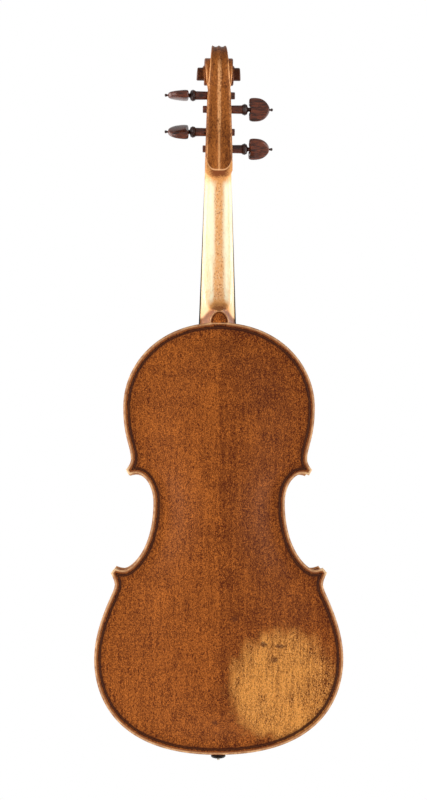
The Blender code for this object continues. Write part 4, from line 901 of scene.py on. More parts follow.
def plateMesh(rise, thickness, glue, out, hasButton):
    # Levels from the rim's underside over the outside to the spine, then back inside
    edge, levels = body["edge"], []
    for k in range(plate["rimSteps"] + 1):
        spin = math.pi * (k / plate["rimSteps"] - 0.5)
        inset = plate["rimDepth"] * (1 - max(math.cos(spin), 0) ** 0.75)
        lift = edge * (0.5 + 0.5 * math.sin(spin))
        points = ring(inset, hasButton)
        levels.append((points, np.full(len(points), lift), inset))
    for inset, dip in plate["margin"]:
        points = ring(inset, hasButton and inset < 0.0045)
        levels.append((points, np.full(len(points), edge + dip), inset))
    count = plate["archLevels"]
    for k in range(count + 1):
        s = k / count
        points, outside, inside = archAt(rise, thickness, s)
        levels.append((points, outside, body["archInset"] + 0.05 * s))
    turnAt = len(levels)
    for s in plate["insideLevels"]:
        points, outside, inside = archAt(rise, thickness, s)
        levels.append((points, inside, 0.05))
    bm = bmesh.new()
    layer = bm.verts.layers.float.new("inset")
    rows = []
    for points, lift, inset in levels:
        row = []
        for x, z, h in mirrored([(x, z, h) for (x, z), h in zip(points, lift)]):
            vert = bm.verts.new((x, glue + out * h, z))
            onButton = hasButton and z > body["length"] and inset > 0.003
            vert[layer] = max(inset, 0.014) if onButton else inset
            row.append(vert)
        rows.append(row)
    skin(bm, rows[:turnAt])
    skin(bm, rows[turnAt:] + rows[:1])
    return bm


def shown(piece, slot, ridesOn, *nodes):
    if nodes:
        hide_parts(*nodes)
    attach(piece, ridesOn)
    print(f"{piece.name} made")
    return piece


backMesh = plateMesh(body["backRise"], body["backThickness"], backGlue, 1, True)
backPlate = finished("back_plate", backMesh, backVarnish, 50)
shown(backPlate, "back_varnish", "viola_frame", "back_bass", "back_treble")

# Inlay along both plates: distance from the edge, width, finish
inlay = {
    "depth": 0.0007, "above": 0.00003,
    "strips": {
        "outer": (0.00440, 0.00042, inlayBlack), "middle": (0.00485, 0.00050, inlayPale),
        "inner": (0.00530, 0.00042, inlayBlack),
    },
}


def inlays(plateName, glue, out, *nodes):
    for tone, (inset, width, stain) in inlay["strips"].items():
        dip = np.interp(inset, *zip(*plate["margin"]))
        lift = glue + out * (body["edge"] + dip + inlay["above"] - inlay["depth"] / 2)
        path = mirrored([(x, lift, z) for x, z in ring(inset)])
        values = {"Width": width, "Depth": inlay["depth"], "Material": stain}
        strip = grown(f"inlay_{plateName}_{tone}", path, inlayTree, True, **values)
        shown(strip, "purfling", "viola_frame", *nodes)


inlays("back", backGlue, 1, "purfling_back")


# Ribs
rootZ = body["length"] - body["overhang"] - neck["rootDepth"]
rootFrontY = -neck["overstand"] + (rootZ - body["length"]) * math.tan(neck["angle"])


# Openings in the body for the neck's root, the end button and the saddle
seats = {
    "gap": 0.0003, "rootFlare": 1.02, "rootFrom": -0.030, "rootPast": 0.002, "rootHeight": 0.040,
    "button": [(0.0035, 0.0300), (0.0044, -0.010)], "saddleHalf": 0.0178, "saddle": (-0.010, 0.0071),
}


def rootCutter():
    low, wide = rootZ - seats["gap"], neck["bodyHalf"] * seats["rootFlare"]
    high = low + seats["rootHeight"]
    sections = []
    for y in (seats["rootFrom"], backGlue + seats["rootPast"]):
        share = (y - rootFrontY) / (backGlue - rootFrontY)
        x = wide + (neck["heelWidth"] - wide) * share + seats["gap"]
        sections.append([(-x, y, low), (x, y, low), (x, y, high), (-x, y, high)])
    return finished("root_cutter", loft(sections), None)


buttonY = bellyGlue + body["ribHeight"] / 2


def buttonHole():
    bm = turnedMesh(seats["button"], 48, True)
    return finished("button_hole", bm, None, place=toThroat @ Matrix.Translation((0, buttonY, 0)))


def ribLines(inset):
    lines = [evenly(run, steps) for run, steps in zip(bouts(inset, True), body["ribSteps"])]
    lines[0][0, 0] = lines[2][-1, 0] = 0
    return lines


ribRuns, ribInner = ribLines(body["overhang"]), ribLines(body["overhang"] + body["ribThickness"])
for k, bout in enumerate(("upper", "waist", "lower")):
    for hand, side in (("bass", -1), ("treble", 1)):
        sections = []
        for a, b in zip(ribRuns[k], ribInner[k]):
            outside = [(side * a[0], y, a[1]) for y in np.linspace(bellyGlue, backGlue, 6)]
            sections.append(outside + [(side * b[0], y, b[1]) for y in (backGlue, bellyGlue)])
        rib = finished(f"rib_{bout}_{hand}_bent", loft(sections), ribVarnish)
        if bout == "upper":
            shaded(carved(rib, [rootCutter()]))
        if bout == "lower":
            shaded(carved(rib, [buttonHole()]))
        shown(rib, "rib_varnish", "viola_frame", f"rib_{bout}_{hand}")


# Neck and head
sidePlaces = [0, 0.1, 0.25, 0.6, 1.0, 1.4, 1.8, 2.2, 2.6, 2.85, 3.0, 3.33, 3.67]
sidePlaces += [4 + 2 * (0.5 - 0.5 * math.cos(math.pi * j / 14)) for j in range(15)]


def monotone(places, values, at):
    # Cubic through the stations that never goes past a station's own value
    h = np.diff(places)[:, None]
    d = np.diff(values, axis=0) / h
    slopes = np.zeros_like(values)
    slopes[0], slopes[-1] = d[0], d[-1]
    w1, w2 = 2 * h[1:] + h[:-1], h[1:] + 2 * h[:-1]
    same = d[:-1] * d[1:] > 0
    below = np.where(same, w1 / np.where(same, d[:-1], 1) + w2 / np.where(same, d[1:], 1), 1)
    slopes[1:-1] = np.where(same, (w1 + w2) / below, 0)
    i = np.clip(np.searchsorted(places, at) - 1, 0, len(places) - 2)
    width = (places[i + 1] - places[i])[:, None]
    t = ((at - places[i]) / (places[i + 1] - places[i]))[:, None]
    return cubic(t, values[i], values[i + 1], slopes[i], slopes[i + 1], width)


def sectionPoints(front, back, half, halfBack, roundness, fluted, shrink=0.0):
    depth, edgeBreak = math.dist(front, back), neck["edgeBreak"]
    if fluted:
        hardX = [half, half, half, half, half - edgeBreak]
        hardV = [0, depth * 0.33, depth * 0.66, depth - edgeBreak, depth - 0.0002]
    else:
        hardX = [half + (halfBack - half) * down for down in (0, 0.3, 0.6, 0.92)]
        hardX += [halfBack - 0.0012, halfBack * 0.5, 0]
        hardV = [depth * down for down in (0, 0.3, 0.6, 0.92, 1, 1, 1)]
    row = []
    for m in sidePlaces:
        if fluted and m > 4:
            t = (m - 4) / 2
            hx = (half - edgeBreak) * (1 - t)
            hv = depth - 0.0002 * (1 - t) - neck["flute"] * math.sin(math.pi * t)
        else:
            hx, hv = (np.interp(m, range(len(line)), line) for line in (hardX, hardV))
        angle = math.pi * m / 12
        x = roundness * half * abs(math.cos(angle)) ** neck["softness"] + (1 - roundness) * hx
        v = roundness * depth * math.sin(angle) ** neck["softness"] + (1 - roundness) * hv
        x *= 1 - shrink / half
        share = (shrink + v * (1 - 2 * shrink / depth)) / depth
        row.append((x, front[0] + (back[0] - front[0]) * share, front[1] + (back[1] - front[1]) * share))
    return row + [(-x, y, z) for x, y, z in row[-2::-1]]


def neckHalf(z):
    share = min(max((z - body["length"]) / neck["length"], -0.08), 1)
    return neck["bodyHalf"] + (neck["nutHalf"] - neck["bodyHalf"]) * share


carving = {
    # Heel, over the body's edge: front height, forward of the button, back height, share of the
    # heel's width, roundness
    "heel": [
        (-0.0010, 0.0, -0.0010, 1, 0.0), (0.0035, 0.0, 0.0055, 0.90, 0.0), (0.0065, 0.0, 0.0088, 0.64, 0.0),
        (0.0085, 0.0002, 0.0108, 0.34, 0.0), (0.0115, 0.0045, 0.0128, 0.50, 0.15),
        (0.0160, 0.0115, 0.0154, 0.75, 0.35), (0.0215, 0.0185, 0.0192, 1, 0.6),
        (0.0280, 0.0250, 0.0258, 1, 0.9),
    ],
    "shares": (0.27, 0.42, 0.58, 0.74, 0.88, 0.955),
    # Pegbox, from the nut: front u and v, back u and v, half width, roundness
    "pegbox": [
        (-0.0035, 0.0, -0.0062, 0.0139, 0.01275, 0.95), (-0.0020, 0.0, -0.0046, 0.0162, 0.01275, 0.80),
        (-0.0005, 0.0, -0.0030, 0.0194, 0.01280, 0.55), (0.0010, 0.0002, -0.0016, 0.0224, 0.01285, 0.30),
        (0.0028, 0.0003, -0.0005, 0.0248, 0.01290, 0.10), (0.0044, 0.0005, 0.0006, 0.0263, 0.01290, 0.0),
        (0.0065, 0.0006, 0.0030, 0.0269, 0.01290, 0.0), (0.0150, 0.0015, 0.0140, 0.0273, 0.01275, 0.0),
        (0.0330, 0.0030, 0.0330, 0.0263, 0.01235, 0.0), (0.0520, 0.0040, 0.0520, 0.0248, 0.01180, 0.0),
        (0.0660, 0.0030, 0.0670, 0.0237, 0.01130, 0.0), (0.0760, 0.0010, 0.0770, 0.0238, 0.01085, 0.0),
        (0.0850, 0.0010, 0.0860, 0.0248, 0.0101, 0.0),
    ],
    "endShrink": 0.0016,
}


def neckStations():
    floor = -body["overhang"] - neck["rootDepth"]
    rows = []
    for frontUp, forward, backUp, width, roundness in [(floor, 0.0, floor, 1, 0.0), *carving["heel"]]:
        frontZ = body["length"] + frontUp
        front = (-neck["overstand"] + frontUp * math.tan(neck["angle"]), frontZ)
        back = (backGlue - forward, body["length"] + backUp)
        halfBack = neck["heelWidth"] * width
        rows.append(sectionPoints(front, back, neckHalf(frontZ), halfBack, roundness, False))
    for share in carving["shares"]:
        u = neck["length"] / lean[1] * (share - 1)
        depth = neck["depthAtBody"] + (neck["depthAtNut"] - neck["depthAtBody"]) * share
        half = neckHalf(body["length"] + neck["length"] * share)
        rows.append(sectionPoints(onNeck(u, 0), onNeck(u, depth), half, half, 1.0, False))
    for frontU, frontV, backU, backV, half, roundness in carving["pegbox"]:
        shrink = carving["endShrink"] if backU == carving["pegbox"][-1][2] else 0.0
        ends = onNeck(frontU, frontV), onNeck(backU, backV)
        rows.append(sectionPoints(*ends, half, half, roundness, True, shrink))
    return rows


def neckMesh():
    rows = np.array(neckStations())
    flat = rows.reshape(len(rows), -1)
    gaps = np.linalg.norm(np.diff(rows, axis=0), axis=2).mean(axis=1)
    places = np.concatenate([[0], np.cumsum(gaps)])
    between = [np.linspace(a, b, 6)[:-1] for a, b in zip(places[:-1], places[1:])]
    at = np.concatenate([*between, places[-1:]])
    return loft(monotone(places, flat, at).reshape(len(at), -1, 3))


# The scroll's line: degrees from the pegbox's back, radius from the eye and half width in mm
scroll = {
    "angles": np.array([-35, 0, 90, 180, 270, 360, 450, 540, 630, 720, 810, 900, 1080, 1260], float),
    "radii": [26.7, 25.5, 27.0, 23.6, 19.2, 17.2, 14.6, 12.4, 10.8, 9.2, 7.8, 6.7, 6.2, 6.0],
    "halves": [10.6, 9.4, 6.7, 6.7, 9.8, 12.8, 13.7, 13.9, 14.2, 14.5, 15.0, 20.2, 20.5, 20.5],
    "step": 5, "chamfer": 0.0008, "eye": (0.0953, 0.0020), "boss": 0.0006, "across": 20,
}


def alongScroll(at, what):
    places, values = scroll["angles"], np.array(scroll[what]) / 1000
    i = min(max(int(np.searchsorted(places, at)) - 1, 0), len(places) - 2)
    slopes = np.gradient(values, places)
    width = places[i + 1] - places[i]
    return cubic((at - places[i]) / width, *values[i:i + 2], *slopes[i:i + 2], width)


def scrollPoint(angle, x, inwards=0.0):
    radius = alongScroll(angle, "radii") - inwards
    spin = math.radians(angle)
    eyeU, eyeV = scroll["eye"]
    return (x, *onNeck(eyeU + radius * math.sin(spin), eyeV + radius * math.cos(spin)))


def scrollMesh():
    bm = bmesh.new()
    step = scroll["step"]
    turn = 360 // step
    angles = np.arange(scroll["angles"][0], scroll["angles"][-1] + 0.1, step)
    count = len(angles) - 1
    halves = [alongScroll(angle, "halves") for angle in angles]
    steps = [w - (halves[i - turn] if i >= turn else 0) for i, w in enumerate(halves)]
    breaks = [min(scroll["chamfer"], 0.4 * max(step, 0.0001)) for step in steps]
    ends = {}
    for side in (-1, 1):
        top = [bm.verts.new(scrollPoint(a, side * w, c)) for a, w, c in zip(angles, halves, breaks)]
        rim = [bm.verts.new(scrollPoint(a, side * (w - c))) for a, w, c in zip(angles, halves, breaks)]
        foot = [bm.verts.new(scrollPoint(a, side * w)) for a, w in zip(angles[turn:], halves)]
        foot = [None] * turn + foot
        ends[side] = (top, rim, foot)
        for i in range(count):
            bm.faces.new((top[i], top[i + 1], rim[i + 1], rim[i]))
            if i < count - turn:
                bm.faces.new((top[i], top[i + 1], foot[i + turn + 1], foot[i + turn]))
            if i >= turn:
                bm.faces.new((foot[i], foot[i + 1], rim[i + 1], rim[i]))
        last = count - turn
        middle = bm.verts.new((side * (halves[-1] + scroll["boss"]), *onNeck(*scroll["eye"])))
        for i in range(last, count):
            bm.faces.new((top[i], top[i + 1], middle))
        bm.faces.new((top[count], top[last], middle))
        bm.faces.new((top[last], top[count], rim[count], foot[count]))
    acrossAll = [-math.cos(math.pi * k / scroll["across"]) for k in range(1, scroll["across"])]
    rows = []
    for i in range(turn + 1):
        dip, flat = neck["flute"] * (1 - (i / turn) ** 4), halves[i] - breaks[i]
        inner = [scrollPoint(angles[i], a * flat, dip * math.sin(math.pi * abs(a))) for a in acrossAll]
        rows.append([ends[-1][1][i], *[bm.verts.new(point) for point in inner], ends[1][1][i]])
    size = len(rows[0])
    lowLeft, lowRight = ends[-1][2][turn], ends[1][2][turn]
    for a, b in zip(rows[:-1], rows[1:]):
        for k in range(size - 1):
            corners = [a[k], a[k + 1], b[k + 1], b[k]]
            if b is rows[-1] and k == 0:
                corners.insert(3, lowLeft)
            if b is rows[-1] and k == size - 2:
                corners.insert(3, lowRight)
            bm.faces.new(corners)
    first = [ends[-1][0][0], *rows[0], ends[1][0][0]]
    bm.faces.new((*first, lowRight, *rows[-1][-2:0:-1], lowLeft))
    return bm


# Mortise: place along the front and the floor, depth of the floor, half width
mortise = [
    (0.0075, 0.0085, 0.0150, 0.0077), (0.0100, 0.0125, 0.0195, 0.0077), (0.0350, 0.0360, 0.0195, 0.0074),
    (0.0600, 0.0620, 0.0190, 0.0065), (0.0755, 0.0800, 0.0175, 0.0062),
]


def mortiseMesh():
    sections = []
    for frontU, backU, backV, half in mortise:
        front, back = onNeck(frontU, -0.012), onNeck(backU, backV)
        sections.append([(-half, *front), (half, *front), (half, *back), (-half, *back)])
    return loft(sections)


# Pegs: place up the neck and into it, side, turn of the leaf in degrees
pegs = {
    "d": {"at": (0.0732, 0.0112), "side": 1, "turn": 4},
    "g": {"at": (0.0600, 0.0122), "side": -1, "turn": 90},
    "a": {"at": (0.0384, 0.0115), "side": 1, "turn": 38},
    "c": {"at": (0.0226, 0.0100), "side": -1, "turn": 42},
}
# profile: radius, distance from the joint; leaf, from base to tip: height, half width, half thickness
pegShape = {
    "head": 0.0041, "tip": 0.0034, "collar": 0.0233, "end": 0.0148, "clearance": 0.0003,
    "sides": 56, "leafRows": 61, "droop": 0.0016, "droopHeight": 0.0060, "roundness": (0.80, 0.62),
    "darkCollar": (0.0224, 0.0288), "darkPin": 0.0492,
    "profile": [
        (0.0000, 0.0520), (0.0006, 0.05195), (0.0011, 0.0517), (0.00138, 0.0512), (0.00145, 0.0508),
        (0.00138, 0.0503), (0.0011, 0.0498), (0.0009, 0.0494), (0.0009, 0.0480), (0.0013, 0.0466),
        (0.0017, 0.0440), (0.0020, 0.0380), (0.0019, 0.0298), (0.0019, 0.0286), (0.0023, 0.0279),
        (0.0031, 0.0275), (0.0042, 0.0272), (0.0048, 0.0267), (0.0050, 0.0262), (0.0049, 0.0259),
        (0.0053, 0.0256), (0.0055, 0.0250), (0.0055, 0.0246), (0.0053, 0.0241), (0.0050, 0.0238),
        (0.0051, 0.0235), (0.0050, 0.0231), (0.0046, 0.0226), (0.0043, 0.0223), (0.0042, 0.0221),
        (0.0041, 0.0218), (0.0041, 0.0214), (0.0034, -0.0148), (0.0033, -0.0151), (0.0030, -0.0154),
        (0.0000, -0.0155),
    ],
    "leaf": [
        (0.0297, 0.0045, 0.0024), (0.02975, 0.0074, 0.0036), (0.0299, 0.0091, 0.0041),
        (0.0302, 0.0101, 0.0044), (0.0308, 0.0107, 0.0045), (0.0320, 0.0112, 0.0045),
        (0.0340, 0.0114, 0.0044), (0.0365, 0.0113, 0.0041), (0.0392, 0.0109, 0.0038),
        (0.0415, 0.0101, 0.0036), (0.0436, 0.0089, 0.0033), (0.0454, 0.0073, 0.0031),
        (0.0468, 0.0055, 0.0028), (0.0478, 0.0038, 0.0024), (0.0484, 0.0024, 0.0018),
        (0.0488, 0.0010, 0.0009),
    ],
}


def pegRadiusAt(along):
    share = (along + pegShape["end"]) / (pegShape["collar"] + pegShape["end"])
    return pegShape["tip"] + (pegShape["head"] - pegShape["tip"]) * share


def pegHole(note):
    (y, z), side = onNeck(*pegs[note]["at"]), pegs[note]["side"]
    profile = [(pegRadiusAt(reach) + pegShape["clearance"], side * reach) for reach in (0.030, -0.030)]
    lie = Matrix.Translation((0, y, z)) @ Matrix.Rotation(math.pi / 2, 4, "Y")
    return finished(f"peg_{note}_hole", turnedMesh(profile, 48, True), None, place=toThroat @ lie)


def head():
    piece = finished("neck_and_scroll_carved", neckMesh(), neckMaple)
    carved(piece, [finished("scroll", scrollMesh(), neckMaple)], "UNION")
    carved(piece, [finished("mortise", mortiseMesh(), None), *[pegHole(note) for note in pegs]])
    shaded(piece, 34)
    markEdges(piece)
    return shown(piece, "neck_maple", "viola_frame", "neck_and_scroll")


head()


def leafMesh():
    stations, sides = np.array(pegShape["leaf"]), pegShape["sides"]
    places = np.arange(len(stations), dtype=float)
    sections = []
    for height, wide, thick in monotone(places, stations, np.linspace(0, places[-1], pegShape["leafRows"])):
        droop = pegShape["droop"] * max(0, 1 - (height - stations[0][0]) / pegShape["droopHeight"])
        section = []
        for k in range(sides):
            spin = 2 * math.pi * k / sides
            c, s = math.cos(spin), math.sin(spin)
            across, out = (
                half * math.copysign(abs(part) ** power, part)
                for half, part, power in zip((wide, thick), (c, s), pegShape["roundness"])
            )
            section.append((across, out, height + droop * (0.55 - 1.1 * abs(across / wide) ** 1.5)))
        sections.append(section)
    return loft(sections)


def peg(note):
    (y, z), side, degrees = onNeck(*pegs[note]["at"]), pegs[note]["side"], pegs[note]["turn"]
    spin = Matrix.Rotation(math.radians(90 - degrees) * side, 4, "X")
    spin = spin @ Matrix.Rotation(side * math.pi / 2, 4, "Y")
    where = toThroat @ Matrix.Translation((0, y, z)) @ spin
    turned = turnedMesh(pegShape["profile"], pegShape["sides"])
    shaft = finished(f"peg_{note}_turned", turned, rosewood, 50, where)
    leaf = finished(f"peg_{note}_leaf", leafMesh(), rosewood, 50, where)
    carved(shaft, [leaf], "UNION")
    shaft.data.materials.append(rosewoodEnd)
    away = spin.inverted() @ Matrix.Translation((0, throat[0] - y, throat[1] - z))
    for face in shaft.data.polygons:
        along = (away @ face.center).z
        if pegShape["darkCollar"][0] < along < pegShape["darkCollar"][1] or along > pegShape["darkPin"]:
            face.material_index = 1
    shaded(shaft, 50)
    return shown(shaft, "rosewood", f"peg_{note}_turner", f"peg_{note}")


for note in pegs:
    peg(note)


# End button
endPin = {
    "sides": 64, "paleFrom": 0.0066,
    "profile": [
        (0.0000, 0.0185), (0.0030, 0.0185), (0.0033, 0.0182), (0.0038, 0.0030), (0.0040, 0.0026),
        (0.0054, 0.0025), (0.0058, 0.0022), (0.0059, 0.0018), (0.0058, 0.0012), (0.0052, 0.0007),
        (0.0043, 0.0003), (0.0040, -0.0001), (0.0038, -0.0007), (0.0038, -0.0013), (0.0040, -0.0020),
        (0.0044, -0.0026), (0.0054, -0.0030), (0.0063, -0.0033), (0.0067, -0.0037), (0.0069, -0.0042),
        (0.0068, -0.0048), (0.0063, -0.0054), (0.0054, -0.0059), (0.0044, -0.0062), (0.0034, -0.0064),
        (0.0016, -0.0066), (0.0013, -0.0067), (0.0013, -0.0077), (0.0010, -0.0080), (0.0000, -0.0080),
    ],
}
buttonPlace = toThroat @ Matrix.Translation((0, buttonY, 0))
buttonMesh = turnedMesh(endPin["profile"], endPin["sides"])
endButton = finished("end_button_turned", buttonMesh, ebony, 50, buttonPlace)
endButton.data.materials.append(pinPale)
for face in endButton.data.polygons:
    if face.center.z < -throat[1] - endPin["paleFrom"]:
        face.material_index = 1
shown(endButton, "ebony", "viola_frame", "end_button")


# Belly, with its sound holes, the neck's seat and the saddle's notch
soundHole = {
    # line: x, height over the bridge, half width; eyes: x, height, radius
    "line": [
        (0.0268, 0.0318, 0.0010), (0.0278, 0.0372, 0.0010), (0.0318, 0.0388, 0.0012),
        (0.0356, 0.0325, 0.0019), (0.0390, 0.0190, 0.0029), (0.0425, 0.0000, 0.0036),
        (0.0464, -0.0190, 0.0029), (0.0500, -0.0315, 0.0019), (0.0540, -0.0385, 0.0012),
        (0.0590, -0.0375, 0.0010), (0.0606, -0.0310, 0.0010),
    ],
    "eyes": ((0.0292, 0.0300, 0.0038), (0.0578, -0.0290, 0.0048)), "nickShare": 0.39, "nickHalf": 0.0013,
    "through": (-0.030, 0.010),
}


def soundHoleLoop(side):
    line = smoothRun(soundHole["line"], 9)
    way, across = headings(line[:, :2])
    across *= line[:, 2:]
    near = soundHole["nickHalf"]
    edges = []
    for sign in (1, -1):
        points = list(line[:, :2] + sign * across)
        middle = len(points) // 2
        step = way[middle] * near
        tip = points[middle] + sign * across[middle] * soundHole["nickShare"]
        low, high = (
            [point for point in part if np.linalg.norm(point - points[middle]) > near]
            for part in (points[:middle], points[middle + 1:])
        )
        edges.append(low + [points[middle] - step, tip, points[middle] + step] + high)
    return [(side * x, bridgeZ + z) for x, z in edges[0] + edges[1][::-1]]


def box(name, low, high):
    (x0, y0, z0), (x1, y1, z1) = low, high
    return finished(name, prism([(x0, z0), (x1, z0), (x1, z1), (x0, z1)], y0, y1), None)


def saddleNotch():
    (low, high), half = seats["saddle"], seats["saddleHalf"]
    return box("saddle_notch", (-half, -0.030, low), (half, 0.030, high))


def belly():
    bm = plateMesh(body["bellyRise"], body["bellyThickness"], bellyGlue, -1, False)
    piece = finished("belly_plate", bm, bellyVarnish, 50)
    cutters = [rootCutter(), saddleNotch()]
    low, high = soundHole["through"]
    for side in (-1, 1):
        cutters.append(finished("sound_hole", prism(soundHoleLoop(side), low, high), None))
        for x, z, radius in soundHole["eyes"]:
            ends = [(side * x, y, bridgeZ + z) for y in (low - 0.001, high + 0.001)]
            cutters.append(finished("sound_hole_eye", rod(*ends, radius), None))
    shaded(carved(piece, cutters), 50)
    return shown(piece, "belly_varnish", "viola_frame", "belly_bass", "belly_treble")


bellyPlate = belly()
inlays("belly", bellyGlue, -1, "purfling_belly_bass", "purfling_belly_treble")
for tone in ("outer", "middle", "inner"):
    carved(bpy.data.objects[f"inlay_belly_{tone}"], [rootCutter(), saddleNotch()])


def treeOf(piece):
    points = [vertex.co for vertex in piece.data.vertices]
    return BVHTree.FromPolygons(points, [tuple(face.vertices) for face in piece.data.polygons])


bellyTree = treeOf(bellyPlate)


def bellyTopY(x, z):
    return bellyTree.ray_cast(Vector((x, -0.2, z - throat[1])), Vector((0, 1, 0)))[0].y + throat[0]


# Bridge
bridgeShape = {
    "topY": -0.0510, "radius": 0.050, "tilt": 0.03, "foot": 0.0023, "top": 0.0008, "press": 0.0002,
    "feet": (0.0121, 0.0240), "crown": (0.0219, 0.0010), "footReach": 0.0024, "heartReach": 0.006,
    # x and height over the belly
    "side": [
        (0.0238, 0.0025), (0.0205, 0.0052), (0.0178, 0.0088), (0.0180, 0.0125), (0.0206, 0.0150),
        (0.0226, 0.0160), (0.0226, 0.0176), (0.0196, 0.0192), (0.0142, 0.0180), (0.0112, 0.0190),
        (0.0104, 0.0208), (0.0116, 0.0224), (0.0150, 0.0226), (0.0200, 0.0236), (0.0217, 0.0256),
        (0.0222, 0.0290),
    ],
    "arch": [(0.0122, 0.0018), (0.0100, 0.0045), (0.0100, 0.0085), (0.0072, 0.0112), (0.0030, 0.0122)],
    "heart": [(0, 0.0178), (0.0040, 0.0218), (0.0044, 0.0238), (0.0024, 0.0252), (0, 0.0240)],
}


def bridgeTop(x):
    radius = bridgeShape["radius"]
    return bridgeShape["topY"] + radius - math.sqrt(radius**2 - x * x) + bridgeShape["tilt"] * x


def bridge():
    floor = bellyTopY(0.0001, bridgeZ)

    def footY(x):
        reach = bridgeShape["footReach"]
        return min(bellyTopY(x, bridgeZ + dz) for dz in (-reach, 0, reach)) - bridgeShape["press"]

    def half(sign):
        feet = [(sign * x, footY(sign * x)) for x in np.linspace(*bridgeShape["feet"], 12)]
        top = [(sign * x, bridgeTop(sign * x)) for x in np.linspace(*bridgeShape["crown"], 18)]
        sides, arch = (
            [(sign * x, floor - h) for x, h in smoothRun(bridgeShape[part], 5)] for part in ("side", "arch")
        )
        return arch[::-1] + feet + sides + top

    outline = half(1) + [(0, bridgeTop(0))] + half(-1)[::-1]
    sections = []
    for sign in (-1, 1):
        row = []
        for x, y in outline:
            share = (floor - y) / (floor - bridgeShape["topY"])
            thick = bridgeShape["foot"] + (bridgeShape["top"] - bridgeShape["foot"]) * share
            row.append((x, y, bridgeZ + sign * (thick - bridgeShape["press"])))
        sections.append(row)
    piece = finished("bridge_carved", loft(sections), bridgeMaple)
    heart = mirrored([(x, floor - h) for x, h in smoothRun(bridgeShape["heart"], 6)])
    reach = bridgeShape["heartReach"]
    through = loft([[(x, y, bridgeZ + dz) for x, y in heart] for dz in (-reach, reach)])
    shaded(carved(piece, [finished("bridge_heart", through, None)]))
    return shown(piece, "bridge_maple", "viola_frame", "bridge")


bridge()


# Fingerboard
board = {
    "length": 0.300, "endHalf": 0.02375, "edge": 0.0050, "radius": 0.042, "gap": 0.0002, "ease": 0.0006,
    "corner": 0.0004, "steps": 36, "flatShare": 0.80, "hollowShare": 0.86,
    # Hollow under the free end: share of the length, depth
    "hollow": ((0, 0), (0.4966, 0), (0.5366, 0.0010), (0.75, 0.0032), (1, 0.0036)),
}


def fingerboard():
    sections = []
    shares = [0, 0.002] + list(np.linspace(0.03, 0.97, 32)) + [0.998, 1]
    for share in shares:
        hollow = np.interp(share, *zip(*board["hollow"]))
        half = neck["nutHalf"] + (board["endHalf"] - neck["nutHalf"]) * share
        ease = board["ease"] if share in (0, 1) else 0
        crown = math.sqrt(board["radius"] ** 2 - half**2)
        u = -board["gap"] - board["length"] * share
        flat = half * board["flatShare"]
        section = [(half - ease, *onNeck(u, -board["gap"] - ease))]
        for x in np.linspace(flat, -flat, 9):
            dip = hollow * (1 - (x / (half * board["hollowShare"])) ** 4) if hollow else 0
            section.append((x, *onNeck(u, -board["gap"] - max(dip, 0) - (ease if not hollow else 0))))
        section.append((-half + ease, *onNeck(u, -board["gap"] - ease)))
        for k in range(board["steps"] + 1):
            x = -half + 2 * half * k / board["steps"]
            rise = board["edge"] + math.sqrt(board["radius"] ** 2 - x * x) - crown
            corner = board["corner"] if k in (0, board["steps"]) else 0
            section.append((x * (1 - ease / half), *onNeck(u, -rise + ease + corner)))
        sections.append(section)
    piece = finished("fingerboard_shaped", loft(sections), ebony)
    return shown(piece, "ebony", "viola_frame", "fingerboard")


fingerboard()


# Tailpiece
tail = {
    "bottom": 0.0090, "length": 0.114, "fretBelow": 0.0030, "slotBelow": 0.0085, "spread": 0.80,
    "hollow": 0.0008, "hole": 0.0019, "slotHalf": 0.0009, "slotLength": 0.0060, "cordX": 0.0052,
    "cordHole": ((-0.0122, 0.0060), (-0.0132, 0.0240)), "cordRadius": 0.0011,
    # share of the length, half width, underside y, thickness
    "stations": np.array([
        (0.000, 0.0105, -0.0088, 0.0050), (0.018, 0.0122, -0.0090, 0.0066), (0.228, 0.0148, -0.0128, 0.0078),
        (0.491, 0.0182, -0.0180, 0.0082), (0.754, 0.0216, -0.0232, 0.0082), (0.912, 0.0232, -0.0262, 0.0076),
        (1.000, 0.0226, -0.0280, 0.0058),
    ]),
    "shape": ((1, 0.35), (0.93, 0.55), (0.55, 0.86), (0, 1)),
}
fretZ = tail["bottom"] + tail["length"] - tail["fretBelow"]
slotZ = fretZ - tail["slotBelow"]
strings = {
    "c": {"nut": -0.0081, "bridge": -0.0186, "radius": 0.00060, "silk": (0.30, 0.030, 0.020)},
    "g": {"nut": -0.0027, "bridge": -0.0062, "radius": 0.00052, "silk": (0.020, 0.13, 0.045)},
    "d": {"nut": 0.0027, "bridge": 0.0062, "radius": 0.00044, "silk": (0.030, 0.060, 0.26)},
    "a": {"nut": 0.0081, "bridge": 0.0186, "radius": 0.00036, "silk": (0.42, 0.25, 0.030)},
}


def tailpieceAt(share):
    return [np.interp(share, tail["stations"][:, 0], tail["stations"][:, k]) for k in (1, 2, 3)]


def tailShare(z):
    return (z - tail["bottom"]) / tail["length"]


def tailpieceTop(x, z):
    half, under, thick = tailpieceAt(tailShare(z))
    across, high = zip(*tail["shape"][::-1])
    return under - thick * np.interp(abs(x) / half, across, high)


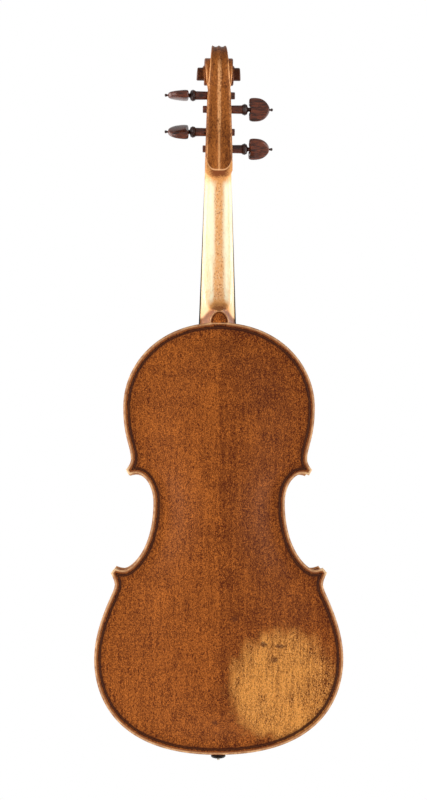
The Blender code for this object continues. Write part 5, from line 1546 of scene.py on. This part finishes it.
def tailpiece():
    across, high = (np.array(part, float) for part in zip(*tail["shape"][::-1]))
    xs = np.concatenate([np.linspace(0, 0.9, 13), np.linspace(0.93, 1, 6)])
    crown = monotone(across, high[:, None], xs)[:, 0]
    shape = list(zip(xs[::-1], crown[::-1])) + [(-x, h) for x, h in zip(xs[1:], crown[1:])]
    shares = np.concatenate([[0, 0.004, 0.010, 0.018], np.linspace(0.04, 0.975, 34), [0.988, 0.995, 1]])
    sections = []
    for share in shares:
        half, under, thick = tailpieceAt(share)
        z = tail["bottom"] + tail["length"] * share
        section = [(half * a, under - thick * h, z) for a, h in shape]
        for a in np.linspace(-1, 1, 11):
            section.append((half * a, under - tail["hollow"] * (1 - a**4), z))
        sections.append(section)
    piece = finished("tailpiece_shaped", loft(sections), ebony)
    cutters = []
    for string in strings.values():
        x = string["bridge"] * tail["spread"]
        top, under = tailpieceTop(x, slotZ), tailpieceAt(tailShare(slotZ))[1]
        hole = rod((x, top - 0.003, slotZ), (x, under + 0.003, slotZ), tail["hole"])
        cutters.append(finished("tail_hole", hole, None))
        low = (x - tail["slotHalf"], top - 0.004, slotZ)
        high = (x + tail["slotHalf"], under + 0.004, slotZ + tail["slotLength"])
        cutters.append(box("tail_slot", low, high))
    for x in (-tail["cordX"], tail["cordX"]):
        ends = [(x, *end) for end in tail["cordHole"]]
        cutters.append(finished("cord_hole", rod(*ends, tail["cordRadius"], 24), None))
    shaded(carved(piece, cutters))
    return shown(piece, "ebony", "viola_frame", "tailpiece")


tailpiece()


# Strings and their coils
nutSize = {"length": 0.0060, "above": 0.0010, "fall": 0.0016, "groove": 0.0005}
# silk: length of the coloured part at the tailpiece and at the peg
wiring = {
    "gap": 0.0003, "nutGap": 0.0002, "fretHeight": 0.0023, "bridgeHalf": 0.0011, "silk": (0.046, 0.062),
    # From the tailpiece's underside through its hole: past the surface, up from the hole
    "end": (0.0016, 0.0010), "bend": (0.0004, 0.0008), "overFret": (-0.0004, 0.0010), "sides": 16,
}
coil = {
    "loops": 3, "points": 48, "gap": 0.0006, "leave": 0.0052, "wall": 0.0062, "sides": 14,
    # How the coil's end goes into the peg: turn, share of the radius
    "tuck": ((0.10, 0.995), (0.18, 0.97), (0.26, 0.91), (0.30, 0.80), (0.30, 0.40)),
}


def nutTop(x):
    crown = math.sqrt(board["radius"] ** 2 - neck["nutHalf"] ** 2)
    return board["edge"] + math.sqrt(board["radius"] ** 2 - x * x) - crown + nutSize["above"]


def coilOf(note):
    (u, v), side = pegs[note]["at"], pegs[note]["side"]
    nutX, radius = strings[note]["nut"], strings[note]["radius"]
    pitch = 2 * radius + coil["gap"]
    leaveAt = min(coil["leave"], coil["wall"] - radius - coil["gap"])
    reach = pegRadiusAt(leaveAt) + wiring["gap"] + radius
    startU = nutSize["length"]
    startV = -nutTop(nutX) + nutSize["groove"] + nutSize["fall"] - radius - wiring["nutGap"]
    aim = math.atan2(v - startV, u - startU)
    tangent = aim - math.asin(reach / math.hypot(u - startU, v - startV))
    points = []
    for k in range(coil["points"] * coil["loops"] + 1):
        turns = k / coil["points"]
        spin = tangent + 2 * math.pi * turns
        x = side * leaveAt - side * pitch * (1 + turns)
        points.append((x, u + reach * math.sin(spin), v - reach * math.cos(spin)))
    x, last = points[-1][0] - side * 0.0001, tangent + 2 * math.pi * coil["loops"]
    for turn, part in coil["tuck"]:
        spin = last + turn
        points.append((x, u + reach * part * math.sin(spin), v - reach * part * math.cos(spin)))
    return [(x, *onNeck(a, b)) for x, a, b in points], (startU, startV)


def string(note):
    nutX, bridgeX, radius, silk = strings[note].values()
    turns, (backU, backV) = coilOf(note)
    touch = Vector(turns[0]) + Vector((pegs[note]["side"] * (2 * radius + coil["gap"]), 0, 0))
    x = bridgeX * tail["spread"]
    top, under = tailpieceTop(x, slotZ), tailpieceAt(tailShare(slotZ))[1]
    bridgeY = bridgeTop(bridgeX) - radius - wiring["gap"]
    groove, gap = nutTop(nutX) - nutSize["groove"], wiring["nutGap"]
    fretY = tailpieceTop(x, fretZ) - wiring["fretHeight"] - radius - wiring["gap"]
    (outside, inside), (bendY, bendZ) = wiring["end"], wiring["bend"]
    route = [
        (x, under + outside, slotZ), (x, under - inside, slotZ), (x, top - bendY, slotZ + bendZ),
        *[(x, fretY, fretZ + dz) for dz in wiring["overFret"]],
        *[(bridgeX, bridgeY, bridgeZ + sign * wiring["bridgeHalf"]) for sign in (-1, 1)],
        (nutX, *onNeck(-gap, -groove - radius - gap)),
        (nutX, *onNeck(nutSize["length"] / 2, -groove - radius - gap / 2)),
        (nutX, *onNeck(backU, backV)), tuple(touch),
    ]
    length = sum(math.dist(a, b) for a, b in zip(route[:-1], route[1:]))
    metal = woundMetal(f"string_{note}_wound", silk, wiring["silk"][0], length - wiring["silk"][1])
    values = {"Radius": radius, "Sides": wiring["sides"], "Material": metal}
    wire = grown(f"string_{note}_wound", route, strandTree, **values)
    shown(wire, "string_metal", "viola_frame", f"string_{note}")
    wrap = woundMetal(f"winding_{note}_silk", silk, 5.0, 6.0)  # no metal shows on the coil
    values = {"Radius": radius, "Sides": coil["sides"], "Material": wrap}
    wound = grown(f"winding_{note}_coil", turns, strandTree, **values)
    shown(wound, "string_metal", f"peg_{note}_turner", f"winding_{note}")


for note in strings:
    string(note)


# CAD nodes that stay as they are, with their finishes
restyled = {
    insideSpruce: ("lining_", "corner_block_", "neck_block", "end_block", "bass_bar", "sound_post"),
    ebony: ("nut", "saddle", "tailpiece_fret"),
    cordBlack: ("tail_cord",),
}
for material, starts in restyled.items():
    for name, node in frame["nodes"].items():
        if name.startswith(starts):
            node.data.materials.clear()
            node.data.materials.append(material)
print("inner parts finished")


# Camera and light
camera = {
    "place": (0.0490, 1.4221, -0.3895), "yaw": math.radians(-1.7965), "pitch": math.radians(3.8699),
    "roll": math.radians(-0.0516), "lens": 1492.8 / 800 * 36,
}


def placeCamera():
    yaw, pitch, roll = camera["yaw"], camera["pitch"], camera["roll"]
    forward = Vector((math.sin(yaw) * math.cos(pitch), -math.cos(yaw) * math.cos(pitch), math.sin(pitch)))
    right = forward.cross((0, 0, 1)).normalized()
    up = right.cross(forward)
    turn = Matrix((right, up, -forward)).transposed() @ Matrix.Rotation(-roll, 3, "Z")
    seen = bpy.data.objects.new("camera", bpy.data.cameras.new("camera"))
    seen.matrix_world = Matrix.Translation(camera["place"]) @ turn.to_4x4()
    seen.data.lens = camera["lens"]
    seen.data.sensor_width = 36
    seen.data.clip_start, seen.data.clip_end = 0.05, 50
    bpy.context.scene.collection.objects.link(seen)
    bpy.context.scene.camera = seen


light = {
    "size": (1.10, 1.60), "across": 1.47, "back": 0.68, "front": -0.66, "height": -0.25,
    "treblePower": 26.0, "bassPower": 21.0, "frontPower": 22.0, "ambient": 0.27, "aim": (0, 0, -0.30),
}


def softLight(name, place, power):
    lamp = bpy.data.lights.new(name, "AREA")
    lamp.shape = "RECTANGLE"
    lamp.size, lamp.size_y = light["size"]
    lamp.energy = power
    holder = bpy.data.objects.new(name, lamp)
    aim = Vector(light["aim"]) - Vector(place)
    holder.matrix_world = Matrix.Translation(place) @ aim.to_track_quat("-Z", "Y").to_matrix().to_4x4()
    bpy.context.scene.collection.objects.link(holder)


def lightRoom():
    for face, hand, side, power in (
        ("back", "treble", 1, "treblePower"), ("back", "bass", -1, "bassPower"),
        ("front", "treble", 1, "frontPower"), ("front", "bass", -1, "frontPower"),
    ):
        place = (side * light["across"], light[face], light["height"])
        softLight(f"light_{face}_{hand}", place, light[power])
    room = Recipe(bpy.data.worlds.new("room"), {"Color": (1, 1, 1)}, "Background")
    bpy.context.scene.world = room.owner
    rays = [f"Is {kind} Ray" for kind in ("Camera", "Glossy", "Transmission")]
    straight, glossy, through = room.outputs(room.node("ShaderNodeLightPath"), *rays)
    seen = straight.highest(glossy).highest(through)
    levels = {"Value": seen, "To Min": light["ambient"], "To Max": 1.0}
    room.feed(room.shader.inputs["Strength"], room.node("ShaderNodeMapRange", None, levels))


ground = {"half": 1.6, "height": -1.15, "tone": 0.88, "fade": (0.9, 1.58)}


def layFloor():
    bm = bmesh.new()
    bmesh.ops.create_grid(bm, x_segments=1, y_segments=1, size=ground["half"])
    values = {"Base Color": [ground["tone"]] * 3, "Roughness": 0.9, "Specular IOR Level": 0.1}
    recipe = Recipe(bpy.data.materials.new("floor_pale"), values)
    x, y, _ = recipe.axes()
    rim = distance(x, y).between(*ground["fade"])
    glow = recipe.node("ShaderNodeEmission", None, {"Color": (1.0, 1.0, 1.0), "Strength": 1.0})
    inputs = {0: rim, 1: Wire(recipe, recipe.shader.outputs[0]), 2: glow}
    blend = recipe.node("ShaderNodeMixShader", None, inputs)
    recipe.feed(recipe.tree.nodes["Material Output"].inputs["Surface"], blend)
    place = Matrix.Translation((0, 0, ground["height"]))
    floor = finished("floor", bm, recipe.owner, place=place)


placeCamera()
lightRoom()
layFloor()
bpy.context.scene.view_settings.view_transform = "Standard"
print("room made")
